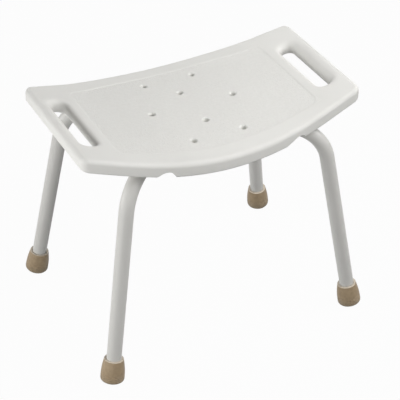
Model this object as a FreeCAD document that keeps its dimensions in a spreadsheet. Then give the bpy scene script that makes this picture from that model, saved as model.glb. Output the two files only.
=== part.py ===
"""Shower stool: a hollow moulded seat on two crossed, bent tubes with rubber foot tips.

The origin is on the floor, under the middle of the seat. X runs along the seat, Y towards its
back and Z upwards. Sizes are in millimetres and degrees. Every piece is an object of one
document, and its sizes are bound to the cells of the sheet called "sizes".
"""
import FreeCAD, Part
import math
import os

import Sketcher
from FreeCAD import Placement, Rotation, Vector

SIZES = [
    # the moulded seat
    ("seatLength", 508, "seat from end to end"),
    ("seatWidth", 314.6, "seat from front to back, at its middle"),
    ("bowRadius", 767, "bow of the front and back edges"),
    ("bowReach", 133, "half the length of that bow, before the straight ends"),
    ("seatHeight", 385.2, "floor to the top of the seat, at its middle"),
    ("crownRise", 8.2, "that middle above the middle of the front and back edges"),
    ("dishRadius", 684, "dish of the front and back edges, from end to end"),
    ("straightEnd", 66, "straight end of that dish, from the seat's end"),
    ("seatThickness", 25, "top to underside at the rim"),
    ("seatCorner", 16, "corner radius seen from above"),
    ("topEdge", 8, "rounding of the top edge"),
    ("bottomEdge", 4, "rounding of the bottom edge"),
    ("seatSkin", 3.5, "wall of the hollow seat, top and underside"),
    ("seatSide", 5, "wall of the hollow seat, all round"),
    # the two hand slots
    ("slotMargin", 24, "end of the seat to a slot"),
    ("slotWidth", 25.5, "slot along X"),
    ("slotLength", 143, "slot along Y"),
    ("slotCorner", 11, "corner radius of a slot"),
    ("slotLip", 10, "rounding of a slot's upper and lower edge"),
    ("slotSleeve", 9, "wall between a slot and the hollow"),
    # the drain holes
    ("drainDiameter", 8, "bore of a drain hole"),
    ("drainLip", 4, "rounding of a drain hole's mouth"),
    ("drainSleeve", 4.5, "wall between a drain hole and the hollow"),
    ("drainEndX", 76, "the two holes on the long centre line"),
    ("drainMidY", 48, "the two holes on the short centre line"),
    ("drainOuterX", 46, "the four outer holes, along X"),
    ("drainOuterY", 95, "the four outer holes, along Y"),
    # the border line round the textured panel
    ("panelGap", 20.5, "slot to the panel"),
    ("panelMargin", 30, "front or back edge to the panel"),
    ("panelCorner", 18, "corner radius of the panel"),
    ("grooveWidth", 1.4, "border line"),
    ("grooveDepth", 0.5, "border line"),
    # the notches in the lower edge of the rim
    ("notchCentre", 121, "middle of the seat to the middle of a notch"),
    ("notchTop", 12, "width of the notch's flat roof"),
    ("notchMouth", 37, "width of the notch at the underside"),
    ("notchRise", 10, "height of the notch"),
    ("notchDepth", 45.3, "middle of the front or back edge to the notch's blind end"),
    # the two crossed tubes
    ("tubeDiameter", 25.4, "outside of the tube"),
    ("tubeWall", 1.2, "wall of the tube"),
    ("armDrop", 25.2, "top of the seat, at its middle, to the axis of the level arms"),
    ("armReach", 220.7, "middle of the seat to where arm and leg axes meet"),
    ("legSplay", 11, "lean of a leg from upright"),
    ("crossAngle", 36, "turn of a tube from the seat's length"),
    ("bendRadius", 65, "bend between arm and leg, on the axis"),
    ("flatThickness", 10, "thickness of the flattened middle"),
    ("flatReach", 26, "half the length of the flattened middle"),
    ("flatTaper", 30, "length of the change from flat to round"),
    ("tubeFit", 0.3, "clearance between a tube and its channel"),
    ("wellGap", 0.9, "clearance over the flattened middles"),
    ("channelRim", 3, "wall between a channel and the hollow"),
    # the screws that hold the seat on the tubes
    ("screwReach", 132, "middle of the seat to a seat screw"),
    ("screwDiameter", 6, "thread of the screws and the centre bolt"),
    ("screwHole", 6.6, "clearance hole for them"),
    ("headDiameter", 12, "head of a seat screw"),
    ("headHeight", 3.8, "head of a seat screw"),
    ("headEdge", 2, "rounding of that head"),
    ("screwTipGap", 1.5, "end of a seat screw to the end of its insert"),
    ("socketWidth", 4, "hexagon socket, across its flats"),
    ("socketDepth", 1.6, "hexagon socket"),
    ("saddleDiameter", 16, "saddle washer under a tube"),
    ("saddleThickness", 2.5, "saddle washer, at its thinnest"),
    ("insertDiameter", 9, "threaded insert"),
    ("insertLength", 8.5, "threaded insert"),
    ("bossWall", 3.5, "wall of the seat round an insert"),
    # the bolt through the crossing
    ("boltHead", 16, "low head of the centre bolt"),
    ("boltHeadHeight", 2.4, "low head of the centre bolt"),
    ("boltHeadEdge", 1.5, "rounding of that head"),
    ("boltHeadGap", 0.6, "clearance over that head"),
    ("boltHeadRoom", 1.5, "clearance round that head"),
    ("boltTail", 1, "thread standing below the nut"),
    ("washerDiameter", 16, "washer under the nut"),
    ("washerThickness", 1.5, "washer under the nut"),
    ("nutWidth", 10, "nut, across its flats"),
    ("nutHeight", 6, "nut, with its collar"),
    ("nutCollar", 1.5, "height of the nut's round collar"),
    ("nutCollarDiameter", 8.8, "nut's round collar"),
    # the rubber foot tips
    ("tipHeight", 42, "tip along the leg"),
    ("tipBase", 21.1, "radius at the sole"),
    ("tipTop", 16.8, "radius at the upper rim"),
    ("tipRim", 1.2, "bevel of the upper rim"),
    ("tipEdge", 5, "rounding of the sole's edge"),
    ("tipFloor", 6, "rubber under the tube"),
    ("tipGrip", 0.1, "clearance between tube and tip"),
    ("soleLift", 1, "floor to the middle of the sole, along the leg"),
    ("ribCount", 4, "fine grooves round the tip"),
    ("ribFirst", 7, "sole to the lowest groove"),
    ("ribPitch", 3.2, "spacing of the grooves"),
    ("ribWidth", 1.1, "groove"),
    ("ribDepth", 0.6, "groove"),
    ("discThickness", 1.5, "steel disc under the tube"),
    ("discGap", 0.3, "clearance round the steel disc"),
]

doc = FreeCAD.newDocument("shower_stool")
sheet = doc.addObject("Spreadsheet::Sheet", "sizes")
for row, (alias, value, meaning) in enumerate(SIZES, start=1):
    sheet.set(f"A{row}", meaning)
    sheet.set(f"B{row}", str(value))
    sheet.setAlias(f"B{row}", alias)
doc.recompute()

# Lengths that follow from the sheet, as expressions for setExpression and for worth().
SEAT_HALF = "(sizes.seatLength / 2)"
RIM_HEIGHT = "(sizes.seatHeight - sizes.crownRise)"
UNDERSIDE = f"({RIM_HEIGHT} - sizes.seatThickness)"
DISH_REACH = f"({SEAT_HALF} - sizes.straightEnd)"
DISH_DROP = f"sqrt(sizes.dishRadius ^ 2 - {DISH_REACH} ^ 2)"
DISH_END = f"({RIM_HEIGHT} + sizes.dishRadius - {DISH_DROP})"
SLOT_FAR = f"({SEAT_HALF} - sizes.slotMargin)"
SLOT_NEAR = f"({SLOT_FAR} - sizes.slotWidth)"
PANEL_REACH = f"({SLOT_NEAR} - sizes.panelGap)"
NOTCH_INNER = "(sizes.seatWidth / 2 - sizes.notchDepth)"
NOTCH_FLOOR = (
    f"({UNDERSIDE} + sizes.dishRadius - sqrt(sizes.dishRadius ^ 2 - sizes.notchCentre ^ 2))")
ARM_HEIGHT = "(sizes.seatHeight - sizes.armDrop)"
TUBE_RADIUS = "(sizes.tubeDiameter / 2)"
BORE_RADIUS = "(sizes.tubeDiameter / 2 - sizes.tubeWall)"
FLAT_WIDTH = "(sizes.flatThickness + pi * (sizes.tubeDiameter - sizes.flatThickness) / 2)"
ROUND_FROM = "(sizes.flatReach + sizes.flatTaper)"
CHANNEL_RADIUS = "(sizes.tubeDiameter / 2 + sizes.tubeFit)"
CHANNEL_ROOF = f"({ARM_HEIGHT} + {CHANNEL_RADIUS})"
FLAT_ROOF = f"({ARM_HEIGHT} + sizes.flatThickness + sizes.wellGap)"
BOLT_ROOM = f"({ARM_HEIGHT} + sizes.flatThickness + sizes.boltHeadHeight + sizes.boltHeadGap)"
FOOT_RADIUS = f"(sizes.armReach + {ARM_HEIGHT} * tan(sizes.legSplay))"
TUBE_END = "(sizes.soleLift + sizes.tipFloor + sizes.discThickness)"
INSERT_TOP = f"({CHANNEL_ROOF} + sizes.insertLength)"
STACK_FOOT = f"({ARM_HEIGHT} - sizes.flatThickness)"
HEAD_TOP = f"({ARM_HEIGHT} - {TUBE_RADIUS} - sizes.saddleThickness)"

# A cutter runs past what it cuts by TRIM, and THROUGH is longer than the whole stool.
# BLOCK_TOP is the top of the seat's block before its crowned top is cut.
TRIM = "(sizes.seatWidth / 10)"
CUT_HALF = f"({SEAT_HALF} + {TRIM})"
CUT_SIDE = f"(sizes.seatWidth / 2 + {TRIM})"
BLOCK_TOP = f"({DISH_END} + {SEAT_HALF})"
CUT_TOP = f"({BLOCK_TOP} + {TRIM})"
THROUGH = "(4 * sizes.seatHeight)"

# Lengths below TOLERANCE count as nothing, and faces that meet at less than SMOOTH as one.
TOLERANCE = 0.01
SMOOTH = math.radians(5)

# Each leg's heading from the middle of the seat.
HEADINGS = {
    "front_left": "(180 + sizes.crossAngle)",
    "front_right": "(-sizes.crossAngle)",
    "back_left": "(180 - sizes.crossAngle)",
    "back_right": "(sizes.crossAngle)",
}


def worth(expression):
    """Return an expression's present value as a plain number."""
    result = sheet.evalExpression(expression)
    return float(getattr(result, "Value", result))


# ---------------------------------------------------------------- sketch helpers


def new_body(label):
    """Return an empty PartDesign body with the given label."""
    body = doc.addObject("PartDesign::Body", label)
    body.Label = label
    return body


def origin_feature(body, role):
    """Return one of a body's own origin planes or axes."""
    return next(item for item in body.Origin.OriginFeatures if item.Role == role)


def new_sketch(body, name, plane, lift=None, turn=None):
    """Return a sketch on an origin plane, lifted along its normal or turned about its upright."""
    sketch = body.newObject("Sketcher::SketchObject", name)
    sketch.AttachmentSupport = [(origin_feature(body, plane), "")]
    sketch.MapMode = "FlatFace"
    if turn is not None:
        sketch.AttachmentOffset = Placement(Vector(), Rotation(Vector(0, 1, 0), 1))
        sketch.setExpression("AttachmentOffset.Rotation.Angle", turn)
    if lift is not None:
        sketch.setExpression("AttachmentOffset.Base.z", lift)
    return sketch


def dimension(sketch, expression, kind, *where):
    """Add a driving dimension to a sketch and bind it to an expression."""
    index = sketch.addConstraint(Sketcher.Constraint(kind, *where, worth(expression)))
    sketch.setExpression(f"Constraints[{index}]", expression)


def locate(sketch, geometry, point, x=None, y=None):
    """Fix a point of a sketch at a distance from the sketch's origin, either way."""
    for kind, distance in (("DistanceX", x), ("DistanceY", y)):
        if distance is None:
            continue
        if worth(distance) < 0:
            dimension(sketch, f"-({distance})", kind, geometry, point, -1, 1)
        else:
            dimension(sketch, distance, kind, -1, 1, geometry, point)


def draw_circle(sketch, x, y, radius):
    """Draw a circle about a point."""
    centre = Vector(worth(x), worth(y))
    circle = sketch.addGeometry(Part.Circle(centre, Vector(0, 0, 1), worth(radius)))
    locate(sketch, circle, 3, x, y)
    dimension(sketch, radius, "Radius", circle)


def draw_polygon(sketch, corners):
    """Draw a closed outline through corners that are each fixed in both directions."""
    points = [Vector(worth(x), worth(y)) for x, y in corners]
    lines = []
    for start, end in zip(points, points[1:] + points[:1]):
        lines.append(sketch.addGeometry(Part.LineSegment(start, end)))
    for line, follower in zip(lines, lines[1:] + lines[:1]):
        sketch.addConstraint(Sketcher.Constraint("Coincident", line, 2, follower, 1))
    for line, (x, y) in zip(lines, corners):
        locate(sketch, line, 1, x, y)


def draw_box(sketch, x_from, x_to, y_from, y_to):
    """Draw a rectangle between four places."""
    draw_polygon(sketch, [(x_from, y_from), (x_to, y_from), (x_to, y_to), (x_from, y_to)])


def draw_rounded_box(sketch, x, half_width, half_length, corner):
    """Draw a rectangle with rounded corners, its middle at x on the sketch's own X axis."""
    middle, radius = worth(x), worth(corner)
    inner_x, inner_y = worth(half_width) - radius, worth(half_length) - radius
    arcs, sides = [], []
    for number, (side_x, side_y) in enumerate(((1, 1), (-1, 1), (-1, -1), (1, -1))):
        centre = Vector(middle + side_x * inner_x, side_y * inner_y)
        start = number * math.pi / 2
        arcs.append(sketch.addGeometry(Part.ArcOfCircle(
            Part.Circle(centre, Vector(0, 0, 1), radius), start, start + math.pi / 2)))
    for arc, follower in zip(arcs, arcs[1:] + arcs[:1]):
        ends = sketch.Geometry[arc].EndPoint, sketch.Geometry[follower].StartPoint
        sides.append(sketch.addGeometry(Part.LineSegment(*ends)))
    for arc, side, follower in zip(arcs, sides, arcs[1:] + arcs[:1]):
        sketch.addConstraint(Sketcher.Constraint("Tangent", arc, 2, side, 1))
        sketch.addConstraint(Sketcher.Constraint("Tangent", side, 2, follower, 1))
        dimension(sketch, corner, "Radius", arc)
    locate(sketch, arcs[0], 3, f"{x} + {half_width} - {corner}", f"{half_length} - {corner}")
    locate(sketch, arcs[2], 3, f"{x} - ({half_width} - {corner})", f"-({half_length} - {corner})")


def draw_stadium(sketch, y, width, height):
    """Draw a level shape with straight sides and half-round ends, centred at height y."""
    radius = worth(height) / 2
    straight = worth(width) / 2 - radius
    middle = worth(y)
    top = sketch.addGeometry(Part.LineSegment(
        Vector(straight, middle + radius), Vector(-straight, middle + radius)))
    bottom = sketch.addGeometry(Part.LineSegment(
        Vector(-straight, middle - radius), Vector(straight, middle - radius)))
    left = sketch.addGeometry(Part.ArcOfCircle(
        Part.Circle(Vector(-straight, middle), Vector(0, 0, 1), radius), math.pi / 2, 3 * math.pi / 2))
    right = sketch.addGeometry(Part.ArcOfCircle(
        Part.Circle(Vector(straight, middle), Vector(0, 0, 1), radius), -math.pi / 2, math.pi / 2))
    joints = ((top, 2, left, 1), (left, 2, bottom, 1), (bottom, 2, right, 1), (right, 2, top, 1))
    for joint in joints:
        sketch.addConstraint(Sketcher.Constraint("Tangent", *joint))
    half = f"({width} - {height}) / 2"
    locate(sketch, right, 3, half, y)
    locate(sketch, left, 3, f"-({half})", y)
    dimension(sketch, f"{height} / 2", "Radius", right)


def draw_bow(sketch, half, reach, middle, radius, side):
    """Draw a bowed edge: an arc over the middle, running on in straight, tangent ends.

    side is 1 where the edge bulges up and -1 where it sags. Returns the two straight lines,
    left and right.
    """
    half_span, arc_span = worth(half), worth(reach)
    arc_radius = worth(radius)
    centre_y = worth(middle) - side * arc_radius
    drop = math.sqrt(arc_radius ** 2 - arc_span ** 2)
    slope = arc_span / drop
    arc_end = centre_y + side * drop
    line_end = arc_end - side * slope * (half_span - arc_span)
    spread = math.asin(arc_span / arc_radius)
    circle = Part.Circle(Vector(0, centre_y), Vector(0, 0, 1), arc_radius)
    upright = side * math.pi / 2
    arc = sketch.addGeometry(Part.ArcOfCircle(circle, upright - spread, upright + spread))
    left = sketch.addGeometry(Part.LineSegment(
        Vector(-half_span, line_end), Vector(-arc_span, arc_end)))
    right = sketch.addGeometry(Part.LineSegment(
        Vector(arc_span, arc_end), Vector(half_span, line_end)))
    left_point, right_point = (2, 1) if side > 0 else (1, 2)
    sketch.addConstraint(Sketcher.Constraint("Tangent", left, 2, arc, left_point))
    sketch.addConstraint(Sketcher.Constraint("Tangent", arc, right_point, right, 1))
    locate(sketch, arc, 3, None, f"{middle} - {side} * {radius}")
    sketch.addConstraint(Sketcher.Constraint("PointOnObject", arc, 3, -2))
    dimension(sketch, radius, "Radius", arc)
    locate(sketch, right, 1, reach)
    locate(sketch, left, 2, f"-{reach}")
    locate(sketch, right, 2, half)
    locate(sketch, left, 1, f"-{half}")
    return left, right


def draw_bowed_outline(sketch, half, upper, lower):
    """Draw a closed outline of two bowed edges and two straight ends.

    upper and lower are each the reach, middle, radius and side of draw_bow.
    """
    upper_left, upper_right = draw_bow(sketch, half, *upper)
    lower_left, lower_right = draw_bow(sketch, half, *lower)
    for first, second, point in ((upper_left, lower_left, 1), (upper_right, lower_right, 2)):
        geometry = sketch.Geometry
        ends = [geometry[line].StartPoint if point == 1 else geometry[line].EndPoint
                for line in (first, second)]
        end_line = sketch.addGeometry(Part.LineSegment(*ends))
        sketch.addConstraint(Sketcher.Constraint("Coincident", end_line, 1, first, point))
        sketch.addConstraint(Sketcher.Constraint("Coincident", end_line, 2, second, point))


# ---------------------------------------------------------------- feature helpers


def extrude(body, kind, sketch, length=None, both_ways=False, backwards=False):
    """Add a Pad or a Pocket of a sketch, through everything where no length is given."""
    feature = body.newObject(f"PartDesign::{kind}", f"{sketch.Name}_{kind.lower()}")
    feature.Profile = sketch
    if length is None:
        feature.Type = "ThroughAll"
    else:
        feature.setExpression("Length", length)
    feature.Midplane = both_ways
    feature.Reversed = backwards
    return feature


def is_sharp(shape, edge):
    """Tell whether the two faces that meet at an edge meet at an angle, not smoothly."""
    point = edge.valueAt((edge.FirstParameter + edge.LastParameter) / 2)
    faces = shape.ancestorsOfType(edge, Part.Face)
    if len(faces) != 2:
        return False
    first, second = (face.normalAt(*face.Surface.parameter(point)) for face in faces)
    return first.getAngle(second) > SMOOTH


def round_edges(body, name, radius, chosen):
    """Fillet the sharp edges of a body's present shape that the function chosen picks out."""
    doc.recompute()
    base = body.Tip
    shape = body.Shape
    edges = [
        f"Edge{number}" for number, edge in enumerate(shape.Edges, start=1)
        if chosen(edge) and is_sharp(shape, edge)]
    fillet = body.newObject("PartDesign::Fillet", name)
    fillet.Base = (base, edges)
    fillet.setExpression("Radius", radius)
    return fillet


def mirror(body, name, plane, features):
    """Mirror features of a body in one of its origin planes."""
    copy = body.newObject("PartDesign::Mirrored", name)
    copy.Originals = features
    copy.MirrorPlane = (origin_feature(body, plane), [""])
    body.Tip = copy
    return copy


def boolean(kind, label, base, tool):
    """Return a Part boolean of two objects."""
    result = doc.addObject(f"Part::{kind}", label)
    result.Label = label
    result.Base = base
    result.Tool = tool
    return result


def place(body, radius, height, heading, lean="0"):
    """Put a body out along a heading at a height, leaned about its own Y and then turned."""
    body.setExpression("Placement", (
        f"placement(vector({radius} * cos({heading}); {radius} * sin({heading}); {height}); "
        f"rotation(vector(0; 0; 1); {heading}) * rotation(vector(0; 1; 0); {lean}))"))


# ---------------------------------------------------------------- the seat


def draw_above_top(sketch, middle, lowered):
    """Draw all that is above the seat's top at one cross-section, the top lowered by a length.

    middle is the top's height at the middle of that section. Its straight ends are the same in
    every section.
    """
    reach, half = worth(DISH_REACH), worth(CUT_HALF)
    dish_end = f"({DISH_END} - {lowered})"
    line_end = f"({dish_end} + {DISH_REACH} * ({CUT_HALF} - {DISH_REACH}) / {DISH_DROP})"
    low, level, high, roof = (
        worth(f"{middle} - {lowered}"), worth(dish_end), worth(line_end), worth(CUT_TOP))
    radius = ((level - low) ** 2 + reach ** 2) / (2 * (level - low))
    spread = math.asin(reach / radius)
    circle = Part.Circle(Vector(0, low + radius), Vector(0, 0, 1), radius)
    arc = sketch.addGeometry(Part.ArcOfCircle(
        circle, -math.pi / 2 - spread, -math.pi / 2 + spread))
    corners = [(reach, level), (half, high), (half, roof), (-half, roof), (-half, high), (-reach, level)]
    lines = [
        sketch.addGeometry(Part.LineSegment(Vector(*start), Vector(*end)))
        for start, end in zip(corners, corners[1:])]
    sketch.addConstraint(Sketcher.Constraint("Coincident", arc, 2, lines[0], 1))
    for line, follower in zip(lines, lines[1:]):
        sketch.addConstraint(Sketcher.Constraint("Coincident", line, 2, follower, 1))
    sketch.addConstraint(Sketcher.Constraint("Coincident", lines[-1], 2, arc, 1))
    locate(sketch, arc, 2, DISH_REACH, dish_end)
    locate(sketch, arc, 1, f"-{DISH_REACH}", dish_end)
    rise = f"({dish_end} - ({middle} - {lowered}))"
    dimension(sketch, f"({rise} ^ 2 + {DISH_REACH} ^ 2) / (2 * {rise})", "Radius", arc)
    locate(sketch, lines[0], 2, CUT_HALF, line_end)
    locate(sketch, lines[1], 2, CUT_HALF, CUT_TOP)
    locate(sketch, lines[2], 2, f"-{CUT_HALF}", CUT_TOP)
    locate(sketch, lines[3], 2, f"-{CUT_HALF}", line_end)


def add_above_top(body, kind, lowered):
    """Add or cut all that is above the seat's crowned top, the top lowered by a length."""
    side_middle = f"(sizes.seatHeight - sizes.crownRise * (2 * {CUT_SIDE} / sizes.seatWidth) ^ 2)"
    sections = []
    for name, lift, middle in (
            ("front", CUT_SIDE, side_middle), ("middle", "0", "sizes.seatHeight"),
            ("back", f"-{CUT_SIDE}", side_middle)):
        section = new_sketch(body, f"{body.Name}_{name}_top", "XZ_Plane", lift=lift)
        draw_above_top(section, middle, lowered)
        sections.append(section)
    loft = body.newObject(f"PartDesign::{kind}Loft", f"{body.Name}_top")
    loft.Profile = sections[0]
    loft.Sections = [(section, "") for section in sections[1:]]
    return loft


def bowed_block(label, inset, lowered, bottom):
    """Return a body with the seat's outline, inset all round, from a dished underside up.

    Its top is the seat's crowned top, lowered by a length.
    """
    body = new_body(label)
    half = f"({SEAT_HALF} - {inset})"
    profile = new_sketch(body, f"{label}_profile", "XZ_Plane")
    underside = (DISH_REACH, bottom, "sizes.dishRadius", -1)
    left, right = draw_bow(profile, half, *underside)
    corners = [profile.Geometry[right].EndPoint, Vector(worth(half), worth(BLOCK_TOP)),
               Vector(-worth(half), worth(BLOCK_TOP)), profile.Geometry[left].StartPoint]
    sides = [
        profile.addGeometry(Part.LineSegment(start, end)) for start, end in zip(corners, corners[1:])]
    profile.addConstraint(Sketcher.Constraint("Coincident", right, 2, sides[0], 1))
    profile.addConstraint(Sketcher.Constraint("Coincident", sides[0], 2, sides[1], 1))
    profile.addConstraint(Sketcher.Constraint("Coincident", sides[1], 2, sides[2], 1))
    profile.addConstraint(Sketcher.Constraint("Coincident", sides[2], 2, left, 1))
    locate(profile, sides[1], 1, half, BLOCK_TOP)
    locate(profile, sides[1], 2, f"-{half}", BLOCK_TOP)
    extrude(body, "Pad", profile, f"2 * {CUT_SIDE}", both_ways=True)
    plan = new_sketch(body, f"{label}_plan", "XY_Plane")
    draw_box(plan, f"-{CUT_HALF}", CUT_HALF, f"-{CUT_SIDE}", CUT_SIDE)
    draw_seat_plan(plan, half, inset)
    extrude(body, "Pocket", plan, both_ways=True)
    add_above_top(body, "Subtractive", lowered)
    return body


def draw_seat_plan(sketch, half, inset):
    """Draw the seat's outline from above, moved in from the front and back edges by inset."""
    middle = f"(sizes.seatWidth / 2 - {inset})"
    draw_bowed_outline(
        sketch, half,
        ("sizes.bowReach", middle, "sizes.bowRadius", 1),
        ("sizes.bowReach", f"-{middle}", "sizes.bowRadius", -1))


def is_upright(edge):
    """Tell whether an edge is a straight line along Z."""
    box = edge.BoundBox
    return box.XLength < TOLERANCE and box.YLength < TOLERANCE


def is_small(edge):
    """Tell whether an edge is no wider than a drain hole."""
    box = edge.BoundBox
    return max(box.XLength, box.YLength) < worth("sizes.drainDiameter") + TOLERANCE


def lies_above(edge):
    """Tell whether an edge is on the upper face of the seat, not its underside."""
    middle = edge.valueAt((edge.FirstParameter + edge.LastParameter) / 2)
    return middle.z > rim_height(middle.x) - worth("sizes.seatThickness / 2")


def rim_height(x):
    """Return the height of the top's front and back edges at x."""
    radius, reach = worth("sizes.dishRadius"), worth(DISH_REACH)
    inside = min(abs(x), reach)
    drop = math.sqrt(radius ** 2 - inside ** 2)
    return worth(RIM_HEIGHT) + radius - drop + (abs(x) - inside) * inside / drop


def draw_slots(sketch, grow):
    """Draw both hand slots, grown all round."""
    for side in (-1, 1):
        draw_rounded_box(
            sketch, f"{side} * ({SLOT_NEAR} + {SLOT_FAR}) / 2",
            f"(sizes.slotWidth / 2 + {grow})", f"(sizes.slotLength / 2 + {grow})",
            f"(sizes.slotCorner + {grow})")


def draw_drains(sketch, grow):
    """Draw all the drain holes, grown all round."""
    radius = f"(sizes.drainDiameter / 2 + {grow})"
    for side in (-1, 1):
        draw_circle(sketch, f"{side} * sizes.drainEndX", "0", radius)
        draw_circle(sketch, "0", f"{side} * sizes.drainMidY", radius)
        for across in (-1, 1):
            draw_circle(
                sketch, f"{side} * sizes.drainOuterX", f"{across} * sizes.drainOuterY", radius)


def add_notches(body, kind, grow):
    """Add or cut the four notches of the rim's lower edge, grown all round."""
    for side in (-1, 1):
        sketch = new_sketch(
            body, f"notch_{'left' if side < 0 else 'right'}_{kind}", "XZ_Plane",
            lift=f"{NOTCH_INNER} - {grow}")
        mouth, roof = f"(sizes.notchMouth / 2 + {grow})", f"(sizes.notchTop / 2 + {grow})"
        middle = f"{side} * sizes.notchCentre"
        slope = "(sizes.notchMouth - sizes.notchTop) / 2"
        draw_polygon(sketch, [
            (f"{middle} - {mouth} - {slope}", f"{NOTCH_FLOOR} - sizes.notchRise"),
            (f"{middle} + {mouth} + {slope}", f"{NOTCH_FLOOR} - sizes.notchRise"),
            (f"{middle} + {roof}", f"{NOTCH_FLOOR} + sizes.notchRise + {grow}"),
            (f"{middle} - {roof}", f"{NOTCH_FLOOR} + sizes.notchRise + {grow}")])
        reach = f"sizes.notchDepth + {TRIM}"
        feature = extrude(body, kind, sketch, reach, backwards=(kind == "Pocket"))
        mirror(body, f"{feature.Name}_back", "XZ_Plane", [feature])


def add_channels(body, kind, grow):
    """Add or cut both tube channels of the seat's underside, grown all round."""
    for name, turn in (("main", "sizes.crossAngle"), ("cross", "-sizes.crossAngle")):
        radius = f"({CHANNEL_RADIUS} + {grow})"
        groove = new_sketch(body, f"channel_{name}_{kind}", "YZ_Plane", turn=turn)
        draw_arch(groove, radius)
        extrude(body, kind, groove, f"2 * {SEAT_HALF}", both_ways=True)
        well = new_sketch(body, f"well_{name}_{kind}", "YZ_Plane", turn=turn)
        half = f"({FLAT_WIDTH} / 2 + sizes.tubeFit + {grow})"
        draw_box(well, f"-{half}", half, f"{ARM_HEIGHT} - 2 * {TUBE_RADIUS}", f"{FLAT_ROOF} + {grow}")
        extrude(body, kind, well, f"2 * ({ROUND_FROM} + {grow})", both_ways=True)


def draw_arch(sketch, radius):
    """Draw a round-topped channel that is open far below the seat."""
    size = worth(radius)
    axis = worth(ARM_HEIGHT)
    floor = f"({ARM_HEIGHT} - 2 * {TUBE_RADIUS})"
    arc = sketch.addGeometry(Part.ArcOfCircle(
        Part.Circle(Vector(0, axis), Vector(0, 0, 1), size), 0, math.pi))
    lines = []
    corners = [(-size, axis), (-size, worth(floor)), (size, worth(floor)), (size, axis)]
    for start, end in zip(corners, corners[1:]):
        lines.append(sketch.addGeometry(Part.LineSegment(Vector(*start), Vector(*end))))
    sketch.addConstraint(Sketcher.Constraint("Tangent", arc, 2, lines[0], 1))
    sketch.addConstraint(Sketcher.Constraint("Coincident", lines[0], 2, lines[1], 1))
    sketch.addConstraint(Sketcher.Constraint("Coincident", lines[1], 2, lines[2], 1))
    sketch.addConstraint(Sketcher.Constraint("Tangent", lines[2], 2, arc, 1))
    sketch.addConstraint(Sketcher.Constraint("Horizontal", lines[1]))
    sketch.addConstraint(Sketcher.Constraint("Vertical", lines[0]))
    sketch.addConstraint(Sketcher.Constraint("PointOnObject", arc, 3, -2))
    dimension(sketch, radius, "Radius", arc)
    locate(sketch, arc, 3, None, ARM_HEIGHT)
    locate(sketch, lines[1], 1, None, floor)


def draw_inserts(sketch, radius):
    """Draw the four places of the threaded inserts, on the arms."""
    for side_x in (-1, 1):
        for side_y in (-1, 1):
            draw_circle(
                sketch, f"{side_x} * sizes.screwReach * cos(sizes.crossAngle)",
                f"{side_y} * sizes.screwReach * sin(sizes.crossAngle)", radius)


def build_seat_form():
    """Return the seat as a full block, with everything that shows on its outside."""
    form = bowed_block("seat_form", "0", "0", UNDERSIDE)
    round_edges(form, "plan_corners", "sizes.seatCorner", is_upright)
    slots = new_sketch(form, "slots", "XY_Plane")
    draw_slots(slots, "0")
    extrude(form, "Pocket", slots, both_ways=True)
    near_side, far_side = worth(SLOT_NEAR) - TOLERANCE, worth(SLOT_FAR) + TOLERANCE
    slot_end = worth("sizes.slotLength / 2") + TOLERANCE

    def in_slot(edge):
        box = edge.BoundBox
        near, far = sorted((abs(box.XMin), abs(box.XMax)))
        return near_side < near and far < far_side and max(abs(box.YMin), abs(box.YMax)) < slot_end

    round_edges(
        form, "top_edge", "sizes.topEdge",
        lambda edge: not is_upright(edge) and not in_slot(edge) and lies_above(edge))
    round_edges(
        form, "bottom_edge", "sizes.bottomEdge",
        lambda edge: not is_upright(edge) and not in_slot(edge) and not lies_above(edge))
    round_edges(
        form, "slot_lips", "sizes.slotLip",
        lambda edge: not is_upright(edge) and in_slot(edge))

    drains = new_sketch(form, "drains", "XY_Plane")
    draw_drains(drains, "0")
    extrude(form, "Pocket", drains, both_ways=True)
    round_edges(
        form, "drain_mouths", "sizes.drainLip",
        lambda edge: not is_upright(edge) and is_small(edge) and lies_above(edge))

    add_notches(form, "Pocket", "0")
    add_channels(form, "Pocket", "0")
    inserts = new_sketch(form, "inserts", "XY_Plane", lift=INSERT_TOP)
    draw_inserts(inserts, "sizes.insertDiameter / 2")
    extrude(form, "Pocket", inserts, f"{INSERT_TOP} - {ARM_HEIGHT}")
    bolt_room = new_sketch(form, "bolt_room", "XY_Plane", lift=BOLT_ROOM)
    draw_circle(bolt_room, "0", "0", "sizes.boltHead / 2 + sizes.boltHeadRoom")
    extrude(form, "Pocket", bolt_room, f"{BOLT_ROOM} - {ARM_HEIGHT}")
    return form


def build_hollow():
    """Return the air inside the seat: an inset block, less the walls of what passes through."""
    air = bowed_block(
        "seat_air", "sizes.seatSide", "sizes.seatSkin", f"({UNDERSIDE} + sizes.seatSkin)")
    round_edges(air, "air_corners", "sizes.seatCorner - sizes.seatSide", is_upright)
    walls = new_body("seat_walls")
    for name, draw, grow in (
            ("slot_sleeves", draw_slots, "sizes.slotSleeve"),
            ("drain_sleeves", draw_drains, "sizes.drainSleeve"),
            ("insert_bosses", draw_inserts, "(sizes.insertDiameter / 2 + sizes.bossWall)")):
        sketch = new_sketch(walls, name, "XY_Plane")
        draw(sketch, grow)
        extrude(walls, "Pad", sketch, THROUGH, both_ways=True)
    add_channels(walls, "Pad", "sizes.channelRim")
    add_notches(walls, "Pad", "sizes.channelRim")
    return boolean("Cut", "seat_hollow", air, walls)


def build_panel(label, inset):
    """Return a tall block with the outline of the seat's textured panel, inset all round."""
    body = new_body(label)
    sketch = new_sketch(body, f"{label}_plan", "XY_Plane")
    draw_seat_plan(sketch, f"({PANEL_REACH} - {inset})", f"(sizes.panelMargin + {inset})")
    extrude(body, "Pad", sketch, THROUGH, both_ways=True)
    round_edges(body, f"{label}_corners", f"sizes.panelCorner - {inset}", is_upright)
    return body


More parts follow.
